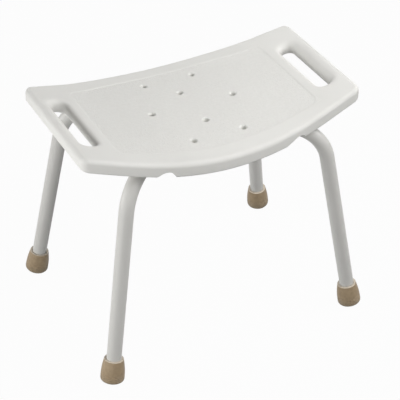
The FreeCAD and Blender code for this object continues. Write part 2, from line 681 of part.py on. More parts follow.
def build_border():
    """Return the cutter of the thin line round the textured panel of the seat's top."""
    ring = boolean(
        "Cut", "border_ring",
        build_panel("panel_outside", "0"), build_panel("panel_inside", "sizes.grooveWidth"))
    skin = new_body("border_skin")
    add_above_top(skin, "Additive", "sizes.grooveDepth")
    return boolean("Common", "border_line", ring, skin)


def build_seat():
    """Return the finished seat: its form, less the hollow and the panel's border line."""
    shell = boolean("Cut", "seat_shell", build_seat_form(), build_hollow())
    return boolean("Cut", "seat", shell, build_border())


# ---------------------------------------------------------------- the crossed tubes


def draw_tube_path(sketch):
    """Draw the tube's axis from the end of its taper out along the arm and down the leg."""
    start, level = worth(ROUND_FROM), worth(ARM_HEIGHT)
    reach, radius = worth("sizes.armReach"), worth("sizes.bendRadius")
    lean = math.radians(worth("sizes.legSplay"))
    back = radius * math.tan((math.pi / 2 - lean) / 2)
    leg = Vector(math.sin(lean), -math.cos(lean), 0)
    corner = Vector(reach, level, 0)
    foot = corner + leg * (level / math.cos(lean))
    bend_from, bend_to = corner - Vector(back, 0, 0), corner + leg * back
    centre = bend_from - Vector(0, radius, 0)
    arm_line = sketch.addGeometry(Part.LineSegment(Vector(start, level, 0), bend_from))
    bend = sketch.addGeometry(Part.ArcOfCircle(
        Part.Circle(centre, Vector(0, 0, 1), radius), lean, math.pi / 2))
    leg_line = sketch.addGeometry(Part.LineSegment(bend_to, foot - leg * worth(TUBE_END)))
    corner_mark = sketch.addGeometry(Part.Point(corner), True)
    foot_mark = sketch.addGeometry(Part.Point(foot), True)
    sketch.addConstraint(Sketcher.Constraint("Horizontal", arm_line))
    sketch.addConstraint(Sketcher.Constraint("Tangent", arm_line, 2, bend, 2))
    sketch.addConstraint(Sketcher.Constraint("Tangent", bend, 1, leg_line, 1))
    locate(sketch, arm_line, 1, ROUND_FROM, ARM_HEIGHT)
    locate(sketch, corner_mark, 1, "sizes.armReach", ARM_HEIGHT)
    locate(sketch, foot_mark, 1, FOOT_RADIUS, "0")
    dimension(sketch, "sizes.bendRadius", "Radius", bend)
    sketch.addConstraint(Sketcher.Constraint("PointOnObject", corner_mark, 1, leg_line))
    sketch.addConstraint(Sketcher.Constraint("PointOnObject", foot_mark, 1, leg_line))
    dimension(sketch, TUBE_END, "Distance", leg_line, 2, foot_mark, 1)


def build_cross_tube(label, side):
    """Return a whole cross tube: two legs, two arms and a middle flattened above or below.

    side is 1 where the flattened middle lies over the other tube and -1 where it lies under it.
    """
    body = new_body(label)
    path = new_sketch(body, f"{label}_path", "XZ_Plane")
    draw_tube_path(path)
    ring = new_sketch(body, f"{label}_ring", "YZ_Plane", lift=ROUND_FROM)
    draw_circle(ring, "0", ARM_HEIGHT, TUBE_RADIUS)
    draw_circle(ring, "0", ARM_HEIGHT, BORE_RADIUS)
    sweep = body.newObject("PartDesign::AdditivePipe", f"{label}_sweep")
    sweep.Profile = ring
    sweep.Spine = (path, [])
    features = [sweep]
    flat_axis = f"({ARM_HEIGHT} + {side} * sizes.flatThickness / 2)"
    for kind, radius, wall in (
            ("Additive", TUBE_RADIUS, "0"), ("Subtractive", BORE_RADIUS, "2 * sizes.tubeWall")):
        round_end = new_sketch(body, f"{label}_round_{kind}", "YZ_Plane", lift=ROUND_FROM)
        draw_circle(round_end, "0", ARM_HEIGHT, radius)
        flat_end = new_sketch(body, f"{label}_flat_{kind}", "YZ_Plane", lift="sizes.flatReach")
        draw_stadium(flat_end, flat_axis, f"({FLAT_WIDTH} - {wall})", f"(sizes.flatThickness - {wall})")
        taper = body.newObject(f"PartDesign::{kind}Loft", f"{label}_taper_{kind}")
        taper.Profile = flat_end
        taper.Sections = [(round_end, "")]
        features.append(taper)
    mirror(body, f"{label}_other_end", "YZ_Plane", features)
    middle = new_sketch(body, f"{label}_middle", "YZ_Plane")
    for wall in ("0", "2 * sizes.tubeWall"):
        draw_stadium(middle, flat_axis, f"({FLAT_WIDTH} - {wall})", f"(sizes.flatThickness - {wall})")
    extrude(body, "Pad", middle, "2 * sizes.flatReach", both_ways=True)
    holes = new_sketch(body, f"{label}_holes", "XY_Plane")
    for hole_x in ("-sizes.screwReach", "0", "sizes.screwReach"):
        draw_circle(holes, hole_x, "0", "sizes.screwHole / 2")
    extrude(body, "Pocket", holes, both_ways=True)
    place(body, "0", "0", f"{side} * sizes.crossAngle")
    return body


# ---------------------------------------------------------------- the foot tips


def stand_on_leg(body, along, heading):
    """Place a body that is built round Z on a leg's axis, at a distance from the floor."""
    radius = f"({FOOT_RADIUS} - {along} * sin(sizes.legSplay))"
    place(body, radius, f"({along} * cos(sizes.legSplay))", heading, "-sizes.legSplay")


def spin(body, kind, sketch):
    """Add a Revolution or a Groove of a sketch about the body's own Z axis."""
    feature = body.newObject(f"PartDesign::{kind}", f"{sketch.Name}_{kind.lower()}")
    feature.Profile = sketch
    feature.ReferenceAxis = (origin_feature(body, "Z_Axis"), [""])
    return feature


def build_tip(corner, heading):
    """Return one rubber tip: a tapered cup with grooves, its sole cut level with the floor."""
    label = f"foot_tip_{corner}"
    body = new_body(label)
    section = new_sketch(body, f"{label}_section", "XZ_Plane")
    bore = f"({TUBE_RADIUS} + sizes.tipGrip)"
    flank_top = "(sizes.tipHeight - sizes.tipRim)"
    draw_polygon(section, [
        ("0", "0"),
        ("sizes.tipBase", "0"),
        ("sizes.tipTop", flank_top),
        ("sizes.tipTop - sizes.tipRim", "sizes.tipHeight"),
        (bore, "sizes.tipHeight"),
        (bore, "sizes.tipFloor"),
        ("0", "sizes.tipFloor")])
    spin(body, "Revolution", section)
    round_edges(
        body, f"{label}_edge", "sizes.tipEdge",
        lambda edge: abs(edge.BoundBox.ZMax) < TOLERANCE and edge.Length > worth("sizes.tipBase"))
    grooves = new_sketch(body, f"{label}_grooves", "XZ_Plane")
    for number in range(round(worth("sizes.ribCount"))):
        level = f"(sizes.ribFirst + {number} * sizes.ribPitch)"
        flank = f"(sizes.tipBase - (sizes.tipBase - sizes.tipTop) * {level} / {flank_top})"
        draw_polygon(grooves, [
            (f"{flank} - sizes.ribDepth", level),
            (f"{flank} + sizes.ribDepth", f"{level} - sizes.ribWidth"),
            (f"{flank} + sizes.ribDepth", f"{level} + sizes.ribWidth")])
    spin(body, "Groove", grooves)
    ground = new_sketch(body, f"{label}_ground", "XZ_Plane")
    wide = "(2 * sizes.tipBase)"
    fall = f"{wide} * tan(sizes.legSplay)"
    draw_polygon(ground, [
        (f"-{wide}", f"{fall} - sizes.soleLift"),
        (f"-{wide}", f"-{wide} - sizes.soleLift"),
        (wide, f"-{wide} - sizes.soleLift"),
        (wide, f"-({fall}) - sizes.soleLift")])
    extrude(body, "Pocket", ground, both_ways=True)
    stand_on_leg(body, "sizes.soleLift", heading)
    return body


def build_tip_disc(corner, heading):
    """Return the steel disc that keeps a tube from cutting through its rubber tip."""
    label = f"tip_disc_{corner}"
    body = new_body(label)
    sketch = new_sketch(body, f"{label}_round", "XY_Plane")
    draw_circle(sketch, "0", "0", f"({TUBE_RADIUS} - sizes.discGap)")
    extrude(body, "Pad", sketch, "sizes.discThickness")
    stand_on_leg(body, "(sizes.soleLift + sizes.tipFloor)", heading)
    return body


# ---------------------------------------------------------------- fasteners


def draw_hexagon(sketch, across_flats):
    """Draw a hexagon about the sketch's origin."""
    radius = f"{across_flats} / sqrt(3)"
    draw_polygon(sketch, [
        (f"{radius} * cos({60 * number})", f"{radius} * sin({60 * number})")
        for number in range(6)])


def build_screw(label, head_diameter, head_height, head_edge, length):
    """Return a round-headed screw: its head below the origin and its shank going up."""
    body = new_body(label)
    head = new_sketch(body, f"{label}_head", "XY_Plane")
    draw_circle(head, "0", "0", f"{head_diameter} / 2")
    extrude(body, "Pad", head, head_height, backwards=True)
    round_edges(body, f"{label}_dome", head_edge, lambda edge: edge.BoundBox.ZMax < -TOLERANCE)
    socket = new_sketch(body, f"{label}_socket", "XY_Plane", lift=f"-{head_height}")
    draw_hexagon(socket, "sizes.socketWidth")
    extrude(body, "Pocket", socket, "sizes.socketDepth", backwards=True)
    shank = new_sketch(body, f"{label}_shank", "XY_Plane")
    draw_circle(shank, "0", "0", "sizes.screwDiameter / 2")
    extrude(body, "Pad", shank, length)
    return body


def build_seat_screw(corner, heading):
    """Return the screw that goes up through an arm into the seat."""
    screw = build_screw(
        f"seat_screw_{corner}", "sizes.headDiameter", "sizes.headHeight", "sizes.headEdge",
        f"{INSERT_TOP} - sizes.screwTipGap - {HEAD_TOP}")
    place(screw, "sizes.screwReach", HEAD_TOP, heading)
    return screw


def build_saddle(corner, heading):
    """Return the washer that fits a screw's flat head to the round tube."""
    label = f"saddle_washer_{corner}"
    body = new_body(label)
    blank = new_sketch(body, f"{label}_blank", "XY_Plane")
    draw_circle(blank, "0", "0", "sizes.saddleDiameter / 2")
    draw_circle(blank, "0", "0", "sizes.screwHole / 2")
    horns = f"{TUBE_RADIUS} - sqrt({TUBE_RADIUS} ^ 2 - (sizes.saddleDiameter / 2) ^ 2)"
    extrude(body, "Pad", blank, f"sizes.saddleThickness + {horns}")
    hollow = new_sketch(body, f"{label}_hollow", "YZ_Plane")
    draw_circle(hollow, "0", f"sizes.saddleThickness + {TUBE_RADIUS}", TUBE_RADIUS)
    extrude(body, "Pocket", hollow, both_ways=True)
    place(body, "sizes.screwReach", HEAD_TOP, heading)
    return body


def build_ring(label, outside, inside, thickness):
    """Return a flat ring that rises from the origin."""
    body = new_body(label)
    sketch = new_sketch(body, f"{label}_ring", "XY_Plane")
    draw_circle(sketch, "0", "0", f"{outside} / 2")
    draw_circle(sketch, "0", "0", f"{inside} / 2")
    extrude(body, "Pad", sketch, thickness)
    return body


def build_insert(corner, heading):
    """Return the threaded insert that is moulded into the seat over an arm."""
    insert = build_ring(
        f"seat_insert_{corner}", "sizes.insertDiameter", "sizes.screwDiameter", "sizes.insertLength")
    place(insert, "sizes.screwReach", CHANNEL_ROOF, heading)
    return insert


def build_centre_bolt():
    """Return the low-headed bolt that goes down through both flattened middles."""
    bolt = build_screw(
        "centre_bolt", "sizes.boltHead", "sizes.boltHeadHeight", "sizes.boltHeadEdge",
        "2 * sizes.flatThickness + sizes.washerThickness + sizes.nutHeight + sizes.boltTail")
    place(bolt, "0", f"({ARM_HEIGHT} + sizes.flatThickness)", "0", "180")
    return bolt


def build_centre_washer():
    """Return the washer between the lower tube and the nut."""
    washer = build_ring(
        "centre_washer", "sizes.washerDiameter", "sizes.screwHole", "sizes.washerThickness")
    place(washer, "0", f"({STACK_FOOT} - sizes.washerThickness)", "0")
    return washer


def build_centre_nut():
    """Return the lock nut of the centre bolt, its nylon collar downwards."""
    body = new_body("centre_nut")
    flats = new_sketch(body, "nut_flats", "XY_Plane")
    draw_hexagon(flats, "sizes.nutWidth")
    extrude(body, "Pad", flats, "sizes.nutHeight - sizes.nutCollar", backwards=True)
    collar = new_sketch(body, "nut_collar", "XY_Plane")
    draw_circle(collar, "0", "0", "sizes.nutCollarDiameter / 2")
    extrude(body, "Pad", collar, "sizes.nutHeight", backwards=True)
    thread = new_sketch(body, "nut_thread", "XY_Plane")
    draw_circle(thread, "0", "0", "sizes.screwDiameter / 2")
    extrude(body, "Pocket", thread, both_ways=True)
    place(body, "0", f"({STACK_FOOT} - sizes.washerThickness)", "0")
    return body


# ---------------------------------------------------------------- the whole stool


def build_stool():
    """Return every piece of the stool, each an object whose label names its file."""
    pieces = [build_seat(), build_cross_tube("cross_tube_upper", 1),
              build_cross_tube("cross_tube_lower", -1)]
    for corner, heading in HEADINGS.items():
        for build in (build_tip, build_tip_disc, build_seat_screw, build_saddle, build_insert):
            pieces.append(build(corner, heading))
    return pieces + [build_centre_bolt(), build_centre_washer(), build_centre_nut()]


def check(pieces):
    """Stop if an object failed to compute or a piece is not one sound solid."""
    failed = [item.Name for item in doc.Objects if {"Invalid", "Error"} & set(item.State)]
    if failed:
        raise RuntimeError(f"failed objects: {failed}")
    for piece in pieces:
        shape = piece.Shape
        if shape.isNull() or not shape.isValid() or len(shape.Solids) != 1:
            raise RuntimeError(f"{piece.Label} is not one sound solid")


stool = build_stool()
doc.recompute()
check(stool)
os.makedirs("parts", exist_ok=True)
for piece in stool:
    piece.Shape.exportStep(os.path.join("parts", f"{piece.Label}.step"))
    print(f"{piece.Label}: {piece.Shape.Volume / 1000:.2f} cm3")
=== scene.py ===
"""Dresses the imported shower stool: its finishes, the studio round it and the camera.

Every length is in metres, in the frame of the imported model: the origin is on the floor under
the middle of the seat, X runs along the seat, Y towards its back and Z upwards.
"""

import logging
import math
from dataclasses import dataclass
from enum import Enum
from typing import Callable, Iterable, Sequence

import bmesh
import bpy
from mathutils import Matrix, Vector

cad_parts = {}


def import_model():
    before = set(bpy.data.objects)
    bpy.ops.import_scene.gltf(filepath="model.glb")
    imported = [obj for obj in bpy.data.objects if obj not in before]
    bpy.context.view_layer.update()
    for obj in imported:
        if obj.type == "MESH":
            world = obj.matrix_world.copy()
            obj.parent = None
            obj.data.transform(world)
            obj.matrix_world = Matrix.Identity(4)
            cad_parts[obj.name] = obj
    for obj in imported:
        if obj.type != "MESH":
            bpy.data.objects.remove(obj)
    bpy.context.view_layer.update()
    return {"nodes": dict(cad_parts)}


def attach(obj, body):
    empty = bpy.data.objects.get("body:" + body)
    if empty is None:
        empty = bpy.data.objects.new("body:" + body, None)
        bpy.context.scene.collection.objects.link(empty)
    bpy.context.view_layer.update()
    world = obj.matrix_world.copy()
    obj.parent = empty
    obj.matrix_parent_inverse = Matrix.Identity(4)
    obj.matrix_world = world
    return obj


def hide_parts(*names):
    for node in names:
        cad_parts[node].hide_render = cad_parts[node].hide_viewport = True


log = logging.getLogger("shower_stool")

Colour = tuple[float, float, float]
Place = tuple[float, float, float]
Range = tuple[float, float]
Rings = list[tuple[float, float]]
Face = bpy.types.MeshPolygon
Material = bpy.types.Material
Socket = bpy.types.NodeSocket

MM = 0.001
# Heights and places that are closer than this are the same.
NEAR = 0.1 * MM
# How far a cutter reaches beyond what it cuts.
CLEAR = 0.02
# The arms of the two crossed tubes, on which the seat lies.
ARM_HEIGHT = 0.360
ARM_HEADING = math.radians(36.0)
# How many flat sides a nut, a bolt or a hole, and a washer have.
NUT_SIDES = 6
BOLT_SIDES = 40
WASHER_SIDES = 56
# Where a quarter round starts: under its centre, or outside it.
BELOW = -math.pi / 2
BESIDE = 0.0


class Corner(Enum):
    """The four legs of the stool, by their place under the seat."""

    FRONT_LEFT = "front_left"
    FRONT_RIGHT = "front_right"
    BACK_LEFT = "back_left"
    BACK_RIGHT = "back_right"

    @property
    def heading(self) -> float:
        """The leg's direction from the middle of the seat, anticlockwise from X."""
        turn = ARM_HEADING if self.value.startswith("back") else -ARM_HEADING
        return math.pi - turn if self.value.endswith("left") else turn


class Slot(Enum):
    """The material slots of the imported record."""

    SEAT = "seat_plastic"
    TUBE = "tube_coat"
    TIP = "tip_rubber"
    DISC = "zinc_steel"
    STEEL = "stainless"
    WASHER = "washer_plastic"
    INSERT = "insert_brass"


# ---- finishes


def feed(target: Socket, value: object) -> None:
    """Give an input its value, or join it to the output that drives it.

    Args:
        target: The input.
        value: A number, a vector, a colour or an output.
    """
    if isinstance(value, Socket):
        target.id_data.links.new(value, target)
    else:
        target.default_value = value


def add_node(tree: bpy.types.NodeTree, kind: str, output: str | int,
             inputs: dict[str | int, object] | None = None, **settings: object) -> Socket:
    """Add a shader node to a tree.

    Args:
        tree: The tree.
        kind: The node's type, after the word ShaderNode.
        output: The output that is wanted.
        inputs: What feeds each input.
        settings: The node's own properties.

    Returns:
        That output.
    """
    node = tree.nodes.new("ShaderNode" + kind)
    for name, value in settings.items():
        setattr(node, name, value)
    for name, value in (inputs or {}).items():
        feed(node.inputs[name], value)
    return node.outputs[output]


class Shader:
    """A material under construction, with short calls for the nodes that finishes share."""

    def __init__(self, name: str) -> None:
        """Start a material that has one Principled BSDF.

        Args:
            name: The material's name.
        """
        self.material = bpy.data.materials.new(name)
        self.material.use_nodes = True
        self.tree = self.material.node_tree
        self.place = add_node(self.tree, "TexCoord", "Object")

    def finish(self, inputs: dict[str, object]) -> Material:
        """Feed inputs of the Principled BSDF.

        Args:
            inputs: What feeds each.

        Returns:
            The finished material.
        """
        for name, value in inputs.items():
            feed(self.tree.nodes["Principled BSDF"].inputs[name], value)
        return self.material

    def noise(self, scale: float, detail: float = 2.0, roughness: float = 0.5,
              at: Socket | None = None) -> Socket:
        """Return the factor of a noise texture that has so many features to the metre."""
        return add_node(self.tree, "TexNoise", "Fac", {
            "Scale": scale, "Detail": detail, "Roughness": roughness, "Vector": at or self.place})

    def spread(self, value: Socket, low: float, high: float,
               to_low: float = 0.0, to_high: float = 1.0) -> Socket:
        """Return a value that is mapped from one range to another and clamped to it."""
        return add_node(self.tree, "MapRange", "Result", {
            "From Min": low, "From Max": high, "To Min": to_low, "To Max": to_high, "Value": value})

    def blend(self, factor: Socket, first: Colour | Socket, second: Colour) -> Socket:
        """Return a colour between two: the first where the factor is 0, the second where it is 1."""
        first = first if isinstance(first, Socket) else (*first, 1.0)
        return add_node(self.tree, "Mix", 2, {6: first, 7: (*second, 1.0), 0: factor}, data_type="RGBA")

    def bump(self, height: Socket, depth: float, strength: float = 1.0,
             over: Socket | None = None) -> Socket:
        """Return the normal of a bump, laid over another bump's normal where one is given."""
        base = {"Normal": over} if over else {}
        return add_node(self.tree, "Bump", "Normal", {
            "Distance": depth, "Strength": strength, "Height": height, **base})


@dataclass(frozen=True)
class MouldedPlastic:
    """White blow-moulded plastic with a soft sheen, smooth or with a pebble grain."""

    name: str
    colour: Colour = (0.765, 0.758, 0.727)
    shade: Colour = (0.735, 0.728, 0.697)
    roughness: Range = (0.52, 0.62)
    mottle_scale: float = 9.0
    grain_scale: float = 360.0
    grain_depth: float = 0.0
    skin_scale: float = 900.0
    skin_depth: float = 0.00002
    refraction: float = 1.49

    def make(self) -> Material:
        """Make the finish.

        Returns:
            The material.
        """
        shader = Shader(self.name)
        mottle = shader.spread(shader.noise(self.mottle_scale, 3.0), 0.35, 0.65)
        skin = shader.noise(self.skin_scale)
        normal = shader.bump(skin, self.skin_depth, 0.4)
        if self.grain_depth:
            cells = add_node(shader.tree, "TexVoronoi", "Distance", {
                "Scale": self.grain_scale, "Smoothness": 0.4, "Vector": shader.place},
                feature="SMOOTH_F1")
            pebbles = shader.spread(cells, 0.0, 0.6, 1.0, 0.0)
            normal = shader.bump(pebbles, self.grain_depth, 1.0, normal)
        return shader.finish({
            "Base Color": shader.blend(mottle, self.shade, self.colour),
            "Roughness": shader.spread(skin, 0.3, 0.7, *self.roughness),
            "Normal": normal,
            "IOR": self.refraction})


@dataclass(frozen=True)
class PowderCoat:
    """Off-white powder coat over the tubes, with its fine orange peel."""

    name: str
    colour: Colour = (0.59, 0.583, 0.557)
    shade: Colour = (0.577, 0.57, 0.544)
    roughness: Range = (0.34, 0.42)
    mottle_scale: float = 14.0
    sheen_scale: float = 60.0
    peel_scale: float = 700.0
    peel_depth: float = 0.000025

    def make(self) -> Material:
        """Make the finish.

        Returns:
            The material.
        """
        shader = Shader(self.name)
        mottle = shader.spread(shader.noise(self.mottle_scale), 0.2, 0.8)
        peel = shader.noise(self.peel_scale, 2.0, 0.45)
        return shader.finish({
            "Base Color": shader.blend(mottle, self.shade, self.colour),
            "Roughness": shader.spread(shader.noise(self.sheen_scale), 0.1, 0.9, *self.roughness),
            "Normal": shader.bump(peel, self.peel_depth, 0.6)})


@dataclass(frozen=True)
class Rubber:
    """Moulded rubber, matt and slightly mottled, with painted shade that darkens it towards the floor.
    """

    name: str
    colour: Colour = (0.34, 0.252, 0.152)
    shade: Colour = (0.285, 0.208, 0.122)
    # Painted shade: the darker colour the rubber fades to at the floor, for the shadow where the tip
    # meets it.
    floor_shade_colour: Colour = (0.215, 0.172, 0.112)
    floor_shade_height: float = 0.018
    roughness: Range = (0.42, 0.58)
    mottle_scale: float = 160.0
    skin_scale: float = 1500.0
    skin_depth: float = 0.00005
    sheen: float = 0.2
    sheen_tint: Colour = (1.0, 0.93, 0.86)

    def make(self) -> Material:
        """Make the finish.

        Returns:
            The material.
        """
        shader = Shader(self.name)
        mottle = shader.noise(self.mottle_scale, 4.0, 0.6)
        clean = shader.blend(shader.spread(mottle, 0.35, 0.65), self.shade, self.colour)
        height = add_node(shader.tree, "SeparateXYZ", "Z", {"Vector": shader.place})
        # Painted shade: the colour is blended darker near the floor, standing in for the floor's
        # contact shadow.
        floor_shade_share = shader.spread(height, 0.0, self.floor_shade_height, 0.85, 0.0)
        return shader.finish({
            "Base Color": shader.blend(floor_shade_share, clean, self.floor_shade_colour),
            "Roughness": shader.spread(mottle, 0.3, 0.7, *self.roughness),
            "Normal": shader.bump(shader.noise(self.skin_scale, 3.0), self.skin_depth, 0.7),
            "Sheen Weight": self.sheen,
            "Sheen Roughness": 0.4,
            "Sheen Tint": (*self.sheen_tint, 1.0)})


@dataclass(frozen=True)
class Metal:
    """Turned or plated metal, with fine lines from its making."""

    name: str
    colour: Colour
    roughness: Range
    line_scale: float = 300.0
    line_depth: float = 0.00002
    dimming: float = 0.82

    def make(self) -> Material:
        """Make the finish.

        Returns:
            The material.
        """
        shader = Shader(self.name)
        stretched = add_node(
            shader.tree, "Mapping", "Vector", {"Scale": (1.0, 1.0, 9.0), "Vector": shader.place})
        lines = shader.noise(self.line_scale, 3.0, 0.5, stretched)
        darker = tuple(self.dimming * part for part in self.colour)
        return shader.finish({
            "Metallic": 1.0,
            "Base Color": shader.blend(shader.spread(lines, 0.3, 0.7), darker, self.colour),
            "Roughness": shader.spread(lines, 0.3, 0.7, *self.roughness),
            "Normal": shader.bump(lines, self.line_depth, 0.5)})


FINISHES = {
    Slot.SEAT: MouldedPlastic("seat_white_smooth"),
    Slot.TUBE: PowderCoat("powder_coat"),
    Slot.TIP: Rubber("tan_rubber"),
    Slot.DISC: Metal("zinc_plate", (0.62, 0.63, 0.66), (0.30, 0.48)),
    Slot.STEEL: Metal("stainless_steel", (0.60, 0.59, 0.57), (0.20, 0.38)),
    Slot.WASHER: MouldedPlastic(
        "nylon_washer", (0.66, 0.65, 0.61), (0.60, 0.59, 0.55), (0.46, 0.56)),
    Slot.INSERT: Metal("brass", (0.72, 0.53, 0.24), (0.22, 0.40)),
}
GRAINED = MouldedPlastic(
    "seat_white_grained", (0.77, 0.763, 0.732), (0.748, 0.741, 0.71), (0.56, 0.66),
    mottle_scale=190.0, grain_depth=0.0004)
# Painted light: a paler rubber for the tips' upper rims, standing in for the light that falls on their
# tops.
RIM_LIGHT_RUBBER = Rubber("tip_rim_painted_light", (0.60, 0.53, 0.43), (0.52, 0.45, 0.36))


# ---- studio


@dataclass(frozen=True)
class Softbox:
    """One square area lamp that looks at the stool."""

    name: str
    place: Place
    size: float
    power: float
    aim: Place = (0.0, 0.0, 0.25)

    def build(self) -> None:
        """Add the lamp."""
        lamp = bpy.data.lights.new(self.name, "AREA")
        lamp.shape = "SQUARE"
        lamp.size = self.size
        lamp.energy = self.power
        holder = bpy.data.objects.new(self.name, lamp)
        bpy.context.scene.collection.objects.link(holder)
        holder.location = self.place
        view = Vector(self.aim) - Vector(self.place)
        holder.rotation_euler = view.to_track_quat("-Z", "Y").to_euler()
        holder.visible_camera = False


@dataclass
class Studio:
    """A white floor, soft lamps and the camera."""

    lamps: Sequence[Softbox] = (
        Softbox("right_key", (0.886, -0.463, 1.5), 0.9, 8.7),
        Softbox("right_window", (2.658, -1.389, 3.0), 2.0, 48.3),
        Softbox("front_key", (0.427, -1.126, 1.5), 0.9, 7.1),
        Softbox("front_window", (-2.084, -3.987, 1.5), 2.0, 31.1),
        Softbox("left_key", (-0.944, -0.296, 0.3), 0.9, 4.6),
        Softbox("left_window", (-3.544, 1.852, 0.8), 2.0, 74.0),
        Softbox("back_fill", (0.556, 1.063, 1.5), 0.9, 4.8))
    ambient: float = 0.05
    floor_size: float = 16.0
    floor_drop: float = 0.0005
    floor_colour: Colour = (0.3, 0.3, 0.3)
    floor_own_white: float = 0.97
    camera_place: Place = (-0.94280, -1.83493, 1.65021)
    camera_yaw: float = 0.4817
    camera_pitch: float = 0.6161
    camera_roll: float = 0.0142
    camera_lens: float = 129.35

    def build(self) -> None:
        """Build the floor, the surround, the lamps and the camera."""
        self.build_floor()
        self.build_world()
        for lamp in self.lamps:
            lamp.build()
        self.build_camera()
        bpy.context.scene.view_settings.view_transform = "Standard"

    def seen_directly(self, tree: bpy.types.NodeTree) -> Socket:
        """Return 1 for rays that come from the camera, off gloss or through glass, and else 0.

        Args:
            tree: The node tree that uses it.

        Returns:
            The clamped sum of the three kinds of ray.
        """
        rays = tree.nodes.new("ShaderNodeLightPath").outputs
        total = rays["Is Camera Ray"]
        for kind in ("Is Glossy Ray", "Is Transmission Ray"):
            total = add_node(
                tree, "Math", 0, {0: total, 1: rays[kind]}, operation="ADD", use_clamp=True)
        return total

    def build_floor(self) -> None:
        """Build the pale floor, which looks white and keeps a faint shadow."""
        floor = Model.sheet("floor", self.floor_size, self.floor_size, -self.floor_drop)
        material = bpy.data.materials.new("floor_paper")
        material.use_nodes = True
        tree = material.node_tree
        tree.nodes.clear()
        paper = add_node(tree, "BsdfDiffuse", 0, {"Color": (*self.floor_colour, 1.0)})
        glow = add_node(tree, "Emission", 0)
        share = add_node(tree, "Math", 0, {0: self.seen_directly(tree), 1: self.floor_own_white},
                         operation="MULTIPLY")
        mixed = add_node(tree, "MixShader", 0, {0: share, 1: paper, 2: glow})
        feed(tree.nodes.new("ShaderNodeOutputMaterial").inputs["Surface"], mixed)
        floor.dress(material)

    def build_world(self) -> None:
        """Build an even grey surround that looks white to the camera."""
        world = bpy.data.worlds.new("studio")
        bpy.context.scene.world = world
        world.use_nodes = True
        tree = world.node_tree
        strength = add_node(tree, "MapRange", "Result", {
            "To Min": self.ambient, "To Max": 1.0, "Value": self.seen_directly(tree)})
        back = tree.nodes["Background"].inputs
        feed(back["Color"], (1.0, 1.0, 1.0, 1.0))
        feed(back["Strength"], strength)

    def build_camera(self) -> None:
        """Build the camera and make it the scene's own."""
        lens = bpy.data.cameras.new("camera")
        lens.sensor_width = 36.0
        lens.lens = self.camera_lens
        lens.clip_end = 50.0
        camera = bpy.data.objects.new("camera", lens)
        bpy.context.scene.collection.objects.link(camera)
        camera.matrix_world = (
            Matrix.Translation(self.camera_place) @ Matrix.Rotation(-self.camera_yaw, 4, "Z")
            @ Matrix.Rotation(math.pi / 2 - self.camera_pitch, 4, "X")
            @ Matrix.Rotation(self.camera_roll, 4, "Z"))
        bpy.context.scene.camera = camera


# ---- modelling


def is_upright(edge: bmesh.types.BMEdge) -> bool:
    """Tell whether an edge's ends differ in height."""
    return abs(edge.verts[0].co.z - edge.verts[1].co.z) > MM


def quarter_round(radius: float, level: float, size: float, start: float, steps: int) -> Rings:
    """Return the rings of a quarter round about a radius and level, drawn upwards."""
    angles = [start + math.pi / 2 * number / steps for number in range(steps + 1)]
    return [(radius + size * math.cos(angle), level + size * math.sin(angle)) for angle in angles]


def sag(along: float, radius: float, reach: float) -> float:
    """Return how far a curve has left its middle's tangent: an arc that ends in straights.

    Args:
        along: The distance from its middle, either way.
        radius: The arc's radius.
        reach: How far the arc goes.

    Returns:
        The distance from the tangent.
    """
    inside = min(abs(along), reach)
    rest = math.sqrt(radius ** 2 - inside ** 2)
    return radius - rest + (abs(along) - inside) * inside / rest


